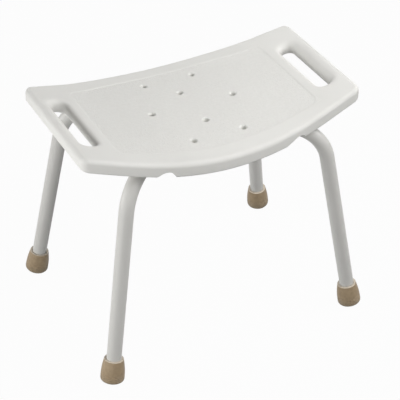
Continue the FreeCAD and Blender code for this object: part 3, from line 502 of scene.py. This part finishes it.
class Model:
    """A mesh piece on the bench: one object that is shaped with Blender's own operators."""

    def __init__(self, name: str) -> None:
        """Take the primitive that was just added and make it this piece.

        Args:
            name: The piece's name.
        """
        self.body = bpy.context.active_object
        self.body.name = name
        bpy.ops.object.transform_apply(location=True, rotation=True, scale=True)

    @classmethod
    def primitive(cls, name: str, kind: str, **settings: object) -> "Model":
        """Start from one of Blender's primitives.

        Args:
            name: The piece's name.
            kind: The primitive's name.
            settings: Its sizes and its place.

        Returns:
            The new piece.
        """
        bpy.ops.object.select_all(action="DESELECT")
        getattr(bpy.ops.mesh, f"primitive_{kind}_add")(**settings)
        return cls(name)

    @classmethod
    def box(cls, name: str, low: Sequence[float], high: Sequence[float],
            heading: float = 0.0) -> "Model":
        """Return a box between two corners, turned about its middle, anticlockwise from above."""
        return cls.primitive(name, "cube", size=1.0, location=(Vector(low) + Vector(high)) / 2,
                             scale=Vector(high) - Vector(low), rotation=(0.0, 0.0, heading))

    @classmethod
    def sheet(cls, name: str, length: float, width: float, height: float) -> "Model":
        """Return a level rectangle about the Z axis.

        Args:
            name: The piece's name.
            length: Its size along X.
            width: Its size along Y.
            height: Where it lies.

        Returns:
            The new piece.
        """
        sheet = cls.primitive(name, "plane", size=1.0, location=(0.0, 0.0, height))
        sheet.move(Matrix.Diagonal((length, width, 1.0, 1.0)))
        return sheet

    @classmethod
    def drum(cls, name: str, radius: float, depth: float, middle: Sequence[float],
             sides: int, turn: Sequence[float] = (0.0, 0.0, 0.0)) -> "Model":
        """Return a cylinder about its middle, with some number of flat sides."""
        return cls.primitive(name, "cylinder", vertices=sides, radius=radius, depth=depth,
                             location=middle, rotation=turn)

    @classmethod
    def pillar(cls, name: str, radius: float, foot: float, top: float, sides: int) -> "Model":
        """Return an upright cylinder about the Z axis, between two heights."""
        return cls.drum(name, radius, top - foot, (0.0, 0.0, (foot + top) / 2), sides)

    @classmethod
    def turned(cls, name: str, outline: Rings, sides: int) -> "Model":
        """Return a piece turned about the Z axis, drawn out ring by ring from its foot.

        Args:
            name: The piece's name.
            outline: Each ring's radius and height; the first and the last are closed.
            sides: How many flat sides it has.

        Returns:
            The new piece.
        """
        (radius, height), *rings = outline
        model = cls.primitive(name, "circle", vertices=sides, radius=radius, fill_type="NGON",
                              location=(0.0, 0.0, height))
        model.open()
        model.pick("FACE", lambda face: True)
        for next_radius, next_height in rings:
            bpy.ops.mesh.extrude_region_move(
                TRANSFORM_OT_translate={"value": (0.0, 0.0, next_height - height)})
            scale = next_radius / radius
            bpy.ops.transform.resize(
                value=(scale, scale, 1.0), center_override=(0.0, 0.0, next_height))
            radius, height = next_radius, next_height
        bpy.ops.mesh.select_all(action="SELECT")
        bpy.ops.mesh.normals_make_consistent(inside=False)
        model.close()
        return model

    def choose(self) -> None:
        """Make the piece the active object and the only one selected."""
        bpy.ops.object.select_all(action="DESELECT")
        bpy.context.view_layer.objects.active = self.body
        self.body.select_set(True)

    def open(self) -> None:
        """Enter edit mode with everything selected."""
        self.choose()
        bpy.ops.object.mode_set(mode="EDIT")
        bpy.ops.mesh.select_mode(type="VERT")
        bpy.ops.mesh.select_all(action="SELECT")

    def close(self) -> None:
        """Leave edit mode."""
        bpy.ops.object.mode_set(mode="OBJECT")

    def pick(self, mode: str, wanted: Callable) -> int:
        """Select, in edit mode, exactly the elements that a test picks out.

        Args:
            mode: VERT, EDGE or FACE.
            wanted: Takes an element and tells whether it is wanted.

        Returns:
            How many were selected.
        """
        bpy.ops.mesh.select_mode(type=mode)
        bpy.ops.mesh.select_all(action="DESELECT")
        mesh = bmesh.from_edit_mesh(self.body.data)
        elements = {"VERT": mesh.verts, "EDGE": mesh.edges, "FACE": mesh.faces}[mode]
        chosen = [element for element in elements if wanted(element)]
        for element in chosen:
            element.select_set(True)
        bmesh.update_edit_mesh(self.body.data)
        return len(chosen)

    def slice(self, axis: int, places: Iterable[float]) -> None:
        """Cut new edges through the whole piece, in edit mode.

        Args:
            axis: The axis the cuts are square to.
            places: Where along it they are.
        """
        normal = [float(number == axis) for number in range(3)]
        for place in places:
            bpy.ops.mesh.select_all(action="SELECT")
            bpy.ops.mesh.bisect(plane_co=[place * part for part in normal], plane_no=normal)

    def round_edges(self, wanted: Callable, width: float, steps: int, profile: float = 0.5) -> None:
        """Round edges, in edit mode.

        Args:
            wanted: Takes an edge and tells whether it is wanted.
            width: Distance from the edge to where the rounding starts.
            steps: How many strips it has.
            profile: Its shape, where 0.5 is a circle's and more is fuller.
        """
        if not self.pick("EDGE", wanted):
            raise ValueError(f"no edge to round on {self.body.name}")
        bpy.ops.mesh.bevel(
            offset=width, segments=steps, affect="EDGES", profile=profile, clamp_overlap=False)

    def round_rims(self, rims: Sequence[tuple[float, float, int]], profile: float = 0.5,
                   wanted: Callable = lambda vert: True) -> None:
        """Round level edges that have a wall beside them.

        Args:
            rims: The height of each, and the width and number of strips of its rounding.
            profile: The shape of the roundings.
            wanted: Takes an edge's end and tells whether it is wanted.
        """
        self.open()
        for level, width, steps in rims:
            self.round_edges(
                lambda edge: all(abs(vert.co.z - level) < NEAR and wanted(vert) for vert in edge.verts)
                and any(abs(face.normal.z) < 0.5 for face in edge.link_faces), width, steps, profile)
        self.close()

    def modify(self, kind: str, **settings: object) -> None:
        """Add a modifier and apply it.

        Args:
            kind: The modifier's type.
            settings: Its properties.
        """
        self.choose()
        modifier = self.body.modifiers.new(kind.lower(), kind)
        for name, value in settings.items():
            setattr(modifier, name, value)
        bpy.ops.object.modifier_apply(modifier=modifier.name)

    def combine(self, operation: str, other: "Model") -> None:
        """Cut a piece out of this one, join it or keep what both share, and delete that piece."""
        self.modify("BOOLEAN", operation=operation, solver="EXACT", object=other.body)
        bpy.data.objects.remove(other.body)

    def subtract(self, *cutters: "Model") -> None:
        """Cut other pieces out of this one and delete them."""
        for cutter in cutters:
            self.combine("DIFFERENCE", cutter)

    def weld(self) -> None:
        """Merge what lies in one place, and drop what that leaves flat."""
        self.open()
        bpy.ops.mesh.remove_doubles(threshold=MM / 1000)
        bpy.ops.mesh.dissolve_degenerate(threshold=MM / 1000)
        self.close()

    def move(self, *steps: Matrix) -> None:
        """Put the finished piece in its place, which goes into its mesh.

        Args:
            steps: Its turns and shifts, the last one first.
        """
        self.choose()
        place = Matrix.Identity(4)
        for step in steps:
            place = place @ step
        self.body.matrix_world = place
        bpy.ops.object.transform_apply(location=True, rotation=True, scale=True)

    def copy(self, name: str) -> "Model":
        """Return a copy that has its own mesh.

        Args:
            name: The copy's name.

        Returns:
            The copy.
        """
        self.choose()
        bpy.ops.object.duplicate(linked=False)
        return Model(name)

    def smooth(self, degrees: float) -> None:
        """Shade the piece smooth, but for edges sharper than an angle.

        Args:
            degrees: That angle.
        """
        self.choose()
        bpy.ops.object.shade_smooth_by_angle(angle=math.radians(degrees))
        self.modify("WEIGHTED_NORMAL", keep_sharp=True, weight=60)

    def dress(self, main: Material, other: Material | None = None,
              has_other: Callable = lambda face: False) -> None:
        """Give the piece its material, and some of its faces another one.

        Args:
            main: The material.
            other: The other one.
            has_other: Takes a face and tells whether it gets the other one.
        """
        self.body.data.materials.clear()
        for finish in filter(None, (main, other)):
            self.body.data.materials.append(finish)
        for face in self.body.data.polygons:
            face.material_index = int(has_other(face))

    def hand_over(self, node: str, slot: Slot) -> None:
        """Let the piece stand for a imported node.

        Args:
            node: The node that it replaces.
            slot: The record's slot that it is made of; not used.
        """
        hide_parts(node)
        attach(self.body, "root")
        log.info("built %s: %d faces", self.body.name, len(self.body.data.polygons))

    def repeat(self, name: str, node: str, slot: Slot, reach: float = 0.0) -> None:
        """Hand over a copy of the piece for each leg, and delete the piece.

        Args:
            name: What the names of the copies start with.
            node: What the names of their nodes start with.
            slot: The record's slot that they are made of.
            reach: How far out the copies are moved.
        """
        for corner in Corner:
            copy = self.copy(f"{name}_{corner.value}")
            copy.move(Matrix.Rotation(corner.heading, 4, "Z"), Matrix.Translation((reach, 0.0, 0.0)))
            copy.hand_over(f"{node}_{corner.value}", slot)
        bpy.data.objects.remove(self.body)


# ---- the seat


@dataclass
class SeatPan:
    """The moulded seat: dished along its length and crowned across, with slots and drains."""

    length: float = 0.508
    width: float = 0.3146
    bow_radius: float = 0.767
    bow_reach: float = 0.133
    rim_height: float = 0.377
    thickness: float = 0.025
    dish_radius: float = 0.684
    dish_reach: float = 0.188
    crown_rise: float = 0.0082
    crown_from: float = 0.050
    crown_to: float = 0.195
    corner: float = 0.016
    top_edge: float = 0.008
    bottom_edge: float = 0.004
    slot_middle: float = 0.21725
    slot_width: float = 0.0255
    slot_length: float = 0.143
    slot_corner: float = 0.011
    slot_lip: float = 0.014
    slot_lower_lip: float = 0.010
    slot_profile: float = 0.56
    drain_radius: float = 0.004
    drain_lip: float = 0.004
    drain_lower_lip: float = 0.001
    drain_sides: int = 24
    drains: Sequence[tuple[float, float]] = (
        (-0.076, 0.0), (0.076, 0.0), (0.0, -0.048), (0.0, 0.048),
        (-0.046, -0.095), (0.046, -0.095), (-0.046, 0.095), (0.046, 0.095))
    panel_reach: float = 0.1845
    panel_margin: float = 0.032
    panel_corner: float = 0.018
    panel_depth: float = 0.0008
    panel_step: float = 0.001
    panel_falls: Sequence[float] = (0.17, 0.38, 0.38, 0.12)
    channel_radius: float = 0.013
    well_half: tuple[float, float] = (0.056, 0.0174)
    well_roof: float = 0.3709
    bolt_room_radius: float = 0.0095
    bolt_room_roof: float = 0.373
    notch_middle: float = 0.1224
    notch_roof: float = 0.0121
    notch_mouth: float = 0.0372
    notch_shift: float = 0.00125
    notch_lean: float = 0.00505
    notch_round: float = 0.004
    notch_rise: float = 0.010
    notch_inner: float = 0.112
    bow_step: float = 0.0121
    dish_step: float = 0.010
    crown_step: float = 0.020
    crease: float = 32.0

    def edge_at(self, along: float, inset: float = 0.0) -> float:
        """Return how far from the centre line the front or back edge is, or a line inside it."""
        return self.width / 2 - inset - sag(along, self.bow_radius, self.bow_reach)

    def dish_at(self, along: float) -> float:
        """Return how far the dish has risen from its middle, at a place along the seat."""
        return sag(along, self.dish_radius, self.dish_reach)

    def crown_at(self, along: float, across: float) -> float:
        """Return how far the top bulges above the dish.

        Args:
            along: The place along the seat.
            across: The place across it.

        Returns:
            The rise.
        """
        part = min(max((abs(along) - self.crown_from) / (self.crown_to - self.crown_from), 0.0), 1.0)
        fade = 1.0 - part * part * (3.0 - 2.0 * part)
        return self.crown_rise * fade * max(1.0 - (2.0 * across / self.width) ** 2, 0.0)

    def stations(self, reach: float, step: float) -> list[float]:
        """Return evenly spaced places either side of the middle, ends left out."""
        count = max(round(reach / step), 1)
        return [reach * number / count for number in range(1 - count, count)]

    def bow_places(self) -> list[float]:
        """Return where the bowed edges bend: at each column of drains, and evenly between them.

        Returns:
            The places along the seat.
        """
        columns = sorted({along for along, _ in self.drains} | {-self.bow_reach, self.bow_reach})
        places = []
        for start, end in zip(columns, columns[1:]):
            count = round((end - start) / self.bow_step)
            places += [start + (end - start) * number / count for number in range(count)]
        return places + [self.bow_reach]

    def bow(self, model: Model, half: float, inset: float) -> None:
        """Bow the long edges of a rectangle or slab, in edit mode.

        Args:
            model: The slab, as wide as the seat at its middle, less the inset.
            half: Half its length.
            inset: How far its edges are inside the seat's.
        """
        places = self.bow_places()
        model.slice(0, places)
        full = self.edge_at(0.0, inset)
        for place in places + [-half, half]:
            model.pick("VERT", lambda vert: abs(vert.co.x - place) < NEAR)
            bpy.ops.transform.resize(
                value=(1.0, self.edge_at(place, inset) / full, 1.0), center_override=(0.0, 0.0, 0.0))

    def corner_setback(self, radius: float) -> float:
        """Return how far from a plan corner a rounding of some radius starts."""
        slope = math.asin(self.bow_reach / self.bow_radius)
        return radius / math.tan(math.pi / 4 + slope / 2)

    def build_slab(self) -> Model:
        """Build the flat, rounded slab with a bowed outline, its top at height 0.

        Returns:
            The slab.
        """
        half, side = self.length / 2, self.width / 2
        slab = Model.box("seat_moulding", (-half, -side, -self.thickness), (half, side, 0.0))
        slab.open()
        self.bow(slab, half, 0.0)
        slab.round_edges(
            lambda edge: is_upright(edge) and abs(edge.verts[0].co.x) > half - MM,
            self.corner_setback(self.corner), 8)
        slab.slice(0, (-self.slot_middle, self.slot_middle))
        slab.close()
        slab.round_rims(((0.0, self.top_edge, 7), (-self.thickness, self.bottom_edge, 4)))
        return slab

    def cut_slots(self, slab: Model) -> None:
        """Cut both hand slots and round their lips.

        Args:
            slab: The flat slab.
        """
        reach_x, reach_y = self.slot_width / 2, self.slot_length / 2
        for middle in (-self.slot_middle, self.slot_middle):
            cutter = Model.box(
                "slot_cutter", (middle - reach_x, -reach_y, -self.thickness - CLEAR),
                (middle + reach_x, reach_y, CLEAR))
            cutter.open()
            cutter.round_edges(is_upright, self.slot_corner, 8)
            cutter.close()
            slab.subtract(cutter)
        slab.round_rims(
            ((0.0, self.slot_lip, 10), (-self.thickness, self.slot_lower_lip, 10)), self.slot_profile,
            lambda vert: abs(abs(vert.co.x) - self.slot_middle) < reach_x + NEAR
            and abs(vert.co.y) < reach_y + NEAR)

    def cut_drains(self, slab: Model) -> None:
        """Drill the drain holes and round their mouths.

        Args:
            slab: The flat slab.
        """
        for along, across in self.drains:
            slab.subtract(Model.drum(
                "drain_cutter", self.drain_radius, self.thickness + 2 * CLEAR,
                (along, across, -self.thickness / 2), self.drain_sides,
                (0.0, 0.0, math.pi / self.drain_sides)))
        slab.round_rims(
            ((-self.panel_depth, self.drain_lip, 5), (-self.thickness, self.drain_lower_lip, 2)),
            wanted=lambda vert: any(
                abs(math.hypot(vert.co.x - along, vert.co.y - across) - self.drain_radius) < NEAR
                for along, across in self.drains))

    def cut_panel(self, slab: Model) -> None:
        """Sink the grained panel a little below the border, with a soft step all round.

        Args:
            slab: The flat slab.
        """
        half = self.panel_reach
        across = 2 * self.edge_at(0.0, self.panel_margin)
        excess = sum(self.panel_falls) - 1.0
        panel = Model.sheet("panel_cutter", 2 * half, across, excess * self.panel_depth)
        panel.open()
        self.bow(panel, half, self.panel_margin)
        panel.pick("VERT", lambda vert: abs(vert.co.x) > half - MM)
        bpy.ops.mesh.bevel(
            offset=self.corner_setback(self.panel_corner), segments=8, affect="VERTICES",
            clamp_overlap=False)
        panel.pick("FACE", lambda face: True)
        for fall in self.panel_falls:
            bpy.ops.mesh.inset(thickness=self.panel_step)
            bpy.ops.transform.translate(value=(0.0, 0.0, -fall * self.panel_depth))
        panel.pick("EDGE", lambda edge: edge.is_boundary)
        bpy.ops.mesh.extrude_edges_move(TRANSFORM_OT_translate={"value": (0.0, 0.0, 2 * MM)})
        panel.pick("EDGE", lambda edge: edge.is_boundary)
        bpy.ops.mesh.edge_face_add()
        bpy.ops.mesh.select_all(action="SELECT")
        bpy.ops.mesh.normals_make_consistent(inside=False)
        panel.close()
        slab.subtract(panel)

    def shape(self, slab: Model) -> None:
        """Dish and crown the slab, lift it to its height, and keep the roundings of its ends round.

        Args:
            slab: The flat slab, with everything cut that is cut square to it.
        """
        slab.open()
        slab.slice(0, self.stations(self.length / 2 - self.corner / 2, self.dish_step))
        slab.slice(1, self.stations(self.width / 2 - self.top_edge, self.crown_step))
        slab.close()
        slope = self.dish_reach / math.sqrt(self.dish_radius ** 2 - self.dish_reach ** 2)
        rounded_from = self.length / 2 - self.top_edge
        for vert in slab.body.data.vertices:
            along, across, depth = vert.co
            share = 1.0 + depth / self.thickness
            vert.co.z += self.rim_height + self.dish_at(along) + share * self.crown_at(along, across)
            beyond = abs(along) - rounded_from
            fall = self.top_edge * (math.hypot(1.0, slope) - 1.0) + slope * beyond
            if fall > 0.0 and depth > -self.top_edge - NEAR:
                vert.co.z -= fall
        slab.body.data.update()

    def cut_channels(self, seat: Model) -> None:
        """Cut the channels that the tubes lie in, and the room over their crossing.

        Args:
            seat: The dished seat.
        """
        deep = self.rim_height - 3 * self.thickness
        long, wide = self.well_half
        for heading in (-ARM_HEADING, ARM_HEADING):
            channel = Model.drum(
                "channel_cutter", self.channel_radius, 1.2 * self.length,
                (0.0, 0.0, ARM_HEIGHT), 42, (0.0, math.pi / 2, heading))
            channel.open()
            channel.pick("VERT", lambda vert: vert.co.z < ARM_HEIGHT - NEAR)
            bpy.ops.transform.resize(value=(1.0, 1.0, 0.0), center_override=(0.0, 0.0, deep))
            channel.close()
            seat.subtract(channel, Model.box(
                "well_cutter", (-long, -wide, deep), (long, wide, self.well_roof), heading))
        seat.subtract(Model.pillar(
            "bolt_room_cutter", self.bolt_room_radius, deep, self.bolt_room_roof, BOLT_SIDES))

    def cut_notches(self, seat: Model) -> None:
        """Cut the four leaning notches in the lower edge of the rim.

        Args:
            seat: The dished seat.
        """
        level = self.rim_height - self.thickness + self.dish_at(self.notch_middle)
        wide = 2 * self.notch_mouth - self.notch_roof
        for side_x, side_y in ((-1, -1), (-1, 1), (1, -1), (1, 1)):
            near, far = sorted((side_y * self.notch_inner, side_y * (self.width / 2 + CLEAR)))
            middle = side_x * self.notch_middle + side_y * self.notch_shift
            notch = Model.box(
                "notch_cutter", (middle - wide / 2, near, level - self.notch_rise),
                (middle + wide / 2, far, level + self.notch_rise))
            notch.open()
            notch.pick("VERT", lambda vert: vert.co.z > level)
            bpy.ops.transform.resize(
                value=(self.notch_roof / wide, 1.0, 1.0), center_override=(middle, 0.0, 0.0))
            bpy.ops.transform.translate(value=(-side_y * self.notch_lean, 0.0, 0.0))
            notch.pick("VERT", lambda vert: vert.co.z < level)
            bpy.ops.transform.translate(value=(side_y * self.notch_lean, 0.0, 0.0))
            notch.round_edges(
                lambda edge: all(vert.co.z > level for vert in edge.verts)
                and abs(edge.verts[0].co.x - edge.verts[1].co.x) < MM, self.notch_round, 5)
            notch.close()
            seat.subtract(notch)

    def in_panel(self, face: Face) -> bool:
        """Tell whether a face of the finished seat is on its top, inside the panel's step."""
        along, across, height = face.center
        return (
            face.normal.z > 0.3
            and height > self.rim_height - self.thickness / 2 + self.dish_at(along)
            and abs(along) < self.panel_reach - 2 * self.panel_step
            and abs(across) < self.edge_at(along, self.panel_margin + 2 * self.panel_step))

    def build(self, smooth_finish: Material, grained_finish: Material) -> None:
        """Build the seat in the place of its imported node.

        Args:
            smooth_finish: What it is dressed in.
            grained_finish: What its panel is dressed in.
        """
        seat = self.build_slab()
        for step in (self.cut_slots, self.cut_panel, self.cut_drains, self.shape,
                     self.cut_channels, self.cut_notches):
            step(seat)
        seat.weld()
        seat.smooth(self.crease)
        seat.dress(smooth_finish, grained_finish, self.in_panel)
        seat.hand_over("seat", Slot.SEAT)


# ---- the foot tips


@dataclass
class FootTip:
    """A rubber cup on a leg's end: grooved flank, a rim painted lighter for the light on its top, and a
    sole that stands level.
    """

    height: float = 0.042
    base: float = 0.0211
    top: float = 0.0168
    rim: float = 0.0012
    edge: float = 0.005
    bulge: float = 0.0011
    floor: float = 0.006
    bore: float = 0.0128
    bore_edge: float = 0.0004
    lift: float = 0.001
    lean: float = math.radians(11.0)
    foot_radius: float = 0.29068
    groove_first: float = 0.007
    groove_pitch: float = 0.0032
    groove_half: float = 0.0008
    groove_depth: float = 0.0006
    groove_shape: Sequence[tuple[float, float]] = (
        (-1.0, 0.0), (-0.6, 0.2), (-0.2, 0.9), (0.2, 0.9), (0.6, 0.2), (1.0, 0.0))
    grooves: int = 4
    flank_steps: int = 8
    treads: Sequence[float] = (0.0045, 0.0088, 0.0131)
    tread_width: float = 0.002
    tread_depth: float = 0.0008
    sole_middle: float = 0.003
    bore_middle: float = 0.002
    sides: int = 64
    crease: float = 40.0

    def flank(self, height: float) -> float:
        """Return the radius of the slightly bulging flank.

        Args:
            height: The height above the sole.

        Returns:
            The radius there.
        """
        shoulder = self.height - self.rim
        share = (height - self.edge) / (shoulder - self.edge)
        cone = self.base - (self.base - self.top) * height / shoulder
        return cone + self.bulge * math.sin(math.pi * share)

    def outline(self) -> Rings:
        """Draw the tip, from the middle of its sole to the bottom of its bore.

        Returns:
            Each ring's radius and height.
        """
        rings = [(self.sole_middle, 0.0)]
        for radius in self.treads:
            wide = radius + self.tread_width
            rings += [(radius, 0.0), (radius, self.tread_depth), (wide, self.tread_depth), (wide, 0.0)]
        rings += quarter_round(self.flank(self.edge) - self.edge, self.edge, self.edge, BELOW, 6)
        for number in range(self.grooves):
            level = self.groove_first + number * self.groove_pitch
            for part, depth in self.groove_shape:
                place = level + part * self.groove_half
                rings.append((self.flank(place) - depth * self.groove_depth, place))
        shoulder = self.height - self.rim
        grooved = rings[-1][1]
        for number in range(1, self.flank_steps):
            place = grooved + (shoulder - grooved) * number / self.flank_steps
            rings.append((self.flank(place), place))
        rings += quarter_round(self.top - self.rim, shoulder, self.rim, BESIDE, 4)
        return rings + [
            (self.bore + self.bore_edge, self.height), (self.bore, self.height - self.bore_edge),
            (self.bore, self.floor), (self.bore_middle, self.floor)]

    def build(self, rubber: Material, dusty: Material) -> None:
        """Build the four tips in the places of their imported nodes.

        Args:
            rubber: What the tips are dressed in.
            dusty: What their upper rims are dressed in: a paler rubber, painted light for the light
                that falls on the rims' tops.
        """
        tip = Model.turned("tip_model", self.outline(), self.sides)
        # Painted light: the faces of the rims' tops get the paler rubber, for the light that falls on
        # them.
        tip.dress(rubber, dusty, lambda face: face.center.z > self.height - self.rim / 2)
        out = self.foot_radius - self.lift * math.sin(self.lean)
        tip.move(Matrix.Translation((out, 0.0, self.lift * math.cos(self.lean))),
                 Matrix.Rotation(-self.lean, 4, "Y"))
        tip.subtract(Model.box(
            "floor_cutter", (out - 2 * self.base, -2 * self.base, -self.height),
            (out + 2 * self.base, 2 * self.base, 0.0)))
        tip.weld()
        tip.smooth(self.crease)
        tip.repeat("rubber_tip", "foot_tip", Slot.TIP)


# ---- the fasteners


@dataclass
class Thread:
    """A screw thread, drawn as close rings."""

    radius: float = 0.003
    pitch: float = 0.001
    depth: float = 0.0004
    crest: float = 0.15

    def outline(self, start: float, end: float) -> Rings:
        """Draw a threaded length.

        Args:
            start: The height where it begins.
            end: The height where it ends.

        Returns:
            Each ring's radius and height.
        """
        rings = []
        for turn in range(round((end - start) / self.pitch)):
            low = start + turn * self.pitch
            rings += [(self.radius, low + self.crest * self.pitch),
                      (self.radius - self.depth, low + 0.5 * self.pitch),
                      (self.radius, low + (1.0 - self.crest) * self.pitch)]
        return rings


@dataclass
class SeatScrews:
    """The four screws that hold the seat on the tubes, each on its saddle washer."""

    reach: float = 0.132
    tube_radius: float = 0.0127
    head_foot: float = 0.341
    head_top: float = 0.3448
    head_radius: float = 0.006
    head_edge: float = 0.002
    head_bevel: float = 0.0003
    screw_top: float = 0.380
    screw_point: float = 0.0008
    socket_width: float = 0.004
    socket_depth: float = 0.0016
    socket_edge: float = 0.00025
    washer_radius: float = 0.008
    washer_top: float = 0.3501
    washer_edge: float = 0.0005
    hole_radius: float = 0.0033
    crease: float = 35.0

    def build_screw(self) -> Model:
        """Build an upright screw on the Z axis, its head down.

        Returns:
            The screw.
        """
        thread = Thread()
        rings = quarter_round(self.head_radius - self.head_edge, self.head_foot + self.head_edge,
                              self.head_edge, BELOW, 6)
        rings += [(self.head_radius, self.head_top - self.head_bevel),
                  (self.head_radius - self.head_bevel, self.head_top),
                  (thread.radius, self.head_top)]
        rings += thread.outline(self.head_top + thread.pitch, self.screw_top - thread.pitch)
        rings.append((thread.radius - self.screw_point, self.screw_top))
        screw = Model.turned("screw_model", rings, BOLT_SIDES)
        screw.subtract(Model.pillar(
            "socket_cutter", self.socket_width / math.sqrt(3.0), self.head_foot - MM,
            self.head_foot + self.socket_depth, NUT_SIDES))
        screw.open()
        screw.round_edges(
            lambda edge: all(
                vert.co.z < self.head_foot + NEAR
                and math.hypot(vert.co.x, vert.co.y) < 0.6 * self.socket_width for vert in edge.verts),
            self.socket_edge, 2)
        screw.close()
        return screw

    def build_washer(self) -> Model:
        """Build a saddle washer on the Z axis, under a tube that runs along X.

        Returns:
            The washer.
        """
        foot, top = self.head_top, self.washer_top
        washer = Model.pillar("washer_model", self.washer_radius, foot, top, WASHER_SIDES)
        washer.subtract(
            Model.drum("saddle_cutter", self.tube_radius, 2 * CLEAR, (0.0, 0.0, ARM_HEIGHT), 96,
                       (0.0, math.pi / 2, 0.0)),
            Model.pillar("hole_cutter", self.hole_radius, foot - MM, top + MM, BOLT_SIDES))
        washer.round_rims(((foot, self.washer_edge, 3),))
        return washer

    def build(self, steel: Material, nylon: Material) -> None:
        """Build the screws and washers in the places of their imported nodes.

        Args:
            steel: What the screws are dressed in.
            nylon: What the washers are dressed in.
        """
        for model, name, node, finish, slot in (
                (self.build_screw(), "button_screw", "seat_screw", steel, Slot.STEEL),
                (self.build_washer(), "shaped_washer", "saddle_washer", nylon, Slot.WASHER)):
            model.smooth(self.crease)
            model.dress(finish)
            model.repeat(name, node, slot, self.reach)


@dataclass
class CentreJoint:
    """The bolt through the crossing of the tubes, with its washer and locking nut."""

    bolt_foot: float = 0.3415
    bolt_point: float = 0.0007
    nut_foot: float = 0.3425
    nut_top: float = 0.3485
    nut_width: float = 0.010
    nut_bevel: float = 0.0005
    collar_top: float = 0.344
    collar_radius: float = 0.0044
    ring_radius: float = 0.0038
    ring_depth: float = 0.0003
    nut_hole: float = 0.00305
    washer_top: float = 0.350
    washer_radius: float = 0.008
    washer_hole: float = 0.0033
    washer_edge: float = 0.0002
    head_foot: float = 0.370
    head_radius: float = 0.008
    head_height: float = 0.0024
    head_edge: float = 0.0015
    head_bevel: float = 0.0002

    def build_bolt(self) -> Model:
        """Build the bolt, its low head up.

        Returns:
            The bolt.
        """
        thread = Thread()
        rings = [(thread.radius - self.bolt_point, self.bolt_foot)]
        rings += thread.outline(self.bolt_foot + 0.5 * thread.pitch, self.washer_top + 2 * thread.pitch)
        rings += [(thread.radius, self.head_foot), (self.head_radius - self.head_bevel, self.head_foot),
                  (self.head_radius, self.head_foot + self.head_bevel)]
        rings += quarter_round(
            self.head_radius - self.head_edge, self.head_foot + self.head_height - self.head_edge,
            self.head_edge, BESIDE, 5)
        return Model.turned("through_bolt", rings, BOLT_SIDES)

    def build_nut(self) -> Model:
        """Build the locking nut: a bevelled hexagon on a round collar that holds a nylon ring.

        Returns:
            The nut.
        """
        foot, low, top, bevel = self.nut_foot, self.collar_top, self.nut_top, self.nut_bevel
        flat, corner = self.nut_width / 2, self.nut_width / math.sqrt(3.0)
        nut = Model.pillar("lock_nut", corner, low - MM, top + MM, NUT_SIDES)
        nut.combine("INTERSECT", Model.turned("nut_turning", [
            (flat - NEAR, low), (corner + NEAR, low + bevel),
            (corner + NEAR, top - bevel), (flat - NEAR, top)], 60))
        nut.combine("UNION", Model.turned("nut_collar", [
            (self.collar_radius - bevel, foot), (self.collar_radius, foot + bevel),
            (self.collar_radius, low + bevel)], 60))
        nut.subtract(
            Model.pillar(
                "ring_cutter", self.ring_radius, foot - MM, foot + self.ring_depth, BOLT_SIDES),
            Model.pillar("thread_cutter", self.nut_hole, foot - MM, top + MM, BOLT_SIDES))
        return nut

    def build_washer(self) -> Model:
        """Build the flat washer.

        Returns:
            The washer.
        """
        foot, top = self.nut_top, self.washer_top
        washer = Model.pillar("flat_washer", self.washer_radius, foot, top, WASHER_SIDES)
        washer.subtract(Model.pillar(
            "hole_cutter", self.washer_hole, foot - MM, top + MM, BOLT_SIDES))
        washer.round_rims([(level, self.washer_edge, 2) for level in (foot, top)])
        return washer

    def on_ring(self, face: Face) -> bool:
        """Tell whether a face of the nut is the foot of its nylon ring."""
        inside = math.hypot(face.center.x, face.center.y) < self.ring_radius - NEAR
        return inside and abs(face.normal.z) > 0.9 and face.center.z < self.collar_top

    def build(self, steel: Material, nylon: Material) -> None:
        """Build the bolt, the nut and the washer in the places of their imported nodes.

        Args:
            steel: What they are dressed in.
            nylon: What the nut's ring is dressed in.
        """
        bolt, nut, washer = self.build_bolt(), self.build_nut(), self.build_washer()
        bolt.dress(steel)
        nut.dress(steel, nylon, self.on_ring)
        washer.dress(steel)
        for model, degrees, node in (
                (bolt, 35.0, "centre_bolt"), (nut, 30.0, "centre_nut"),
                (washer, 30.0, "centre_washer")):
            model.smooth(degrees)
            model.hand_over(node, Slot.STEEL)


# ---- the stool


def dress_cad_nodes(nodes: dict[str, bpy.types.Object], finishes: dict[Slot, Material]) -> None:
    """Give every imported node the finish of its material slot.

    Args:
        nodes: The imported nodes, by name.
        finishes: The material of each slot.
    """
    for name, node in nodes.items():
        for place in node.material_slots:
            place.material = finishes[Slot(place.material.name.split(".")[0])]
        log.info("dressed %s", name)


def main() -> None:
    """Build the finishes, the stool's pieces and the studio, in that order."""
    logging.basicConfig(level=logging.INFO, format="%(message)s")
    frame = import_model()
    finishes = {slot: finish.make() for slot, finish in FINISHES.items()}
    dress_cad_nodes(frame["nodes"], finishes)
    steel, nylon = finishes[Slot.STEEL], finishes[Slot.WASHER]
    SeatPan().build(finishes[Slot.SEAT], GRAINED.make())
    FootTip().build(finishes[Slot.TIP], RIM_LIGHT_RUBBER.make())
    SeatScrews().build(steel, nylon)
    CentreJoint().build(steel, nylon)
    Studio().build()
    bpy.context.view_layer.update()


if __name__ == "__main__":
    main()
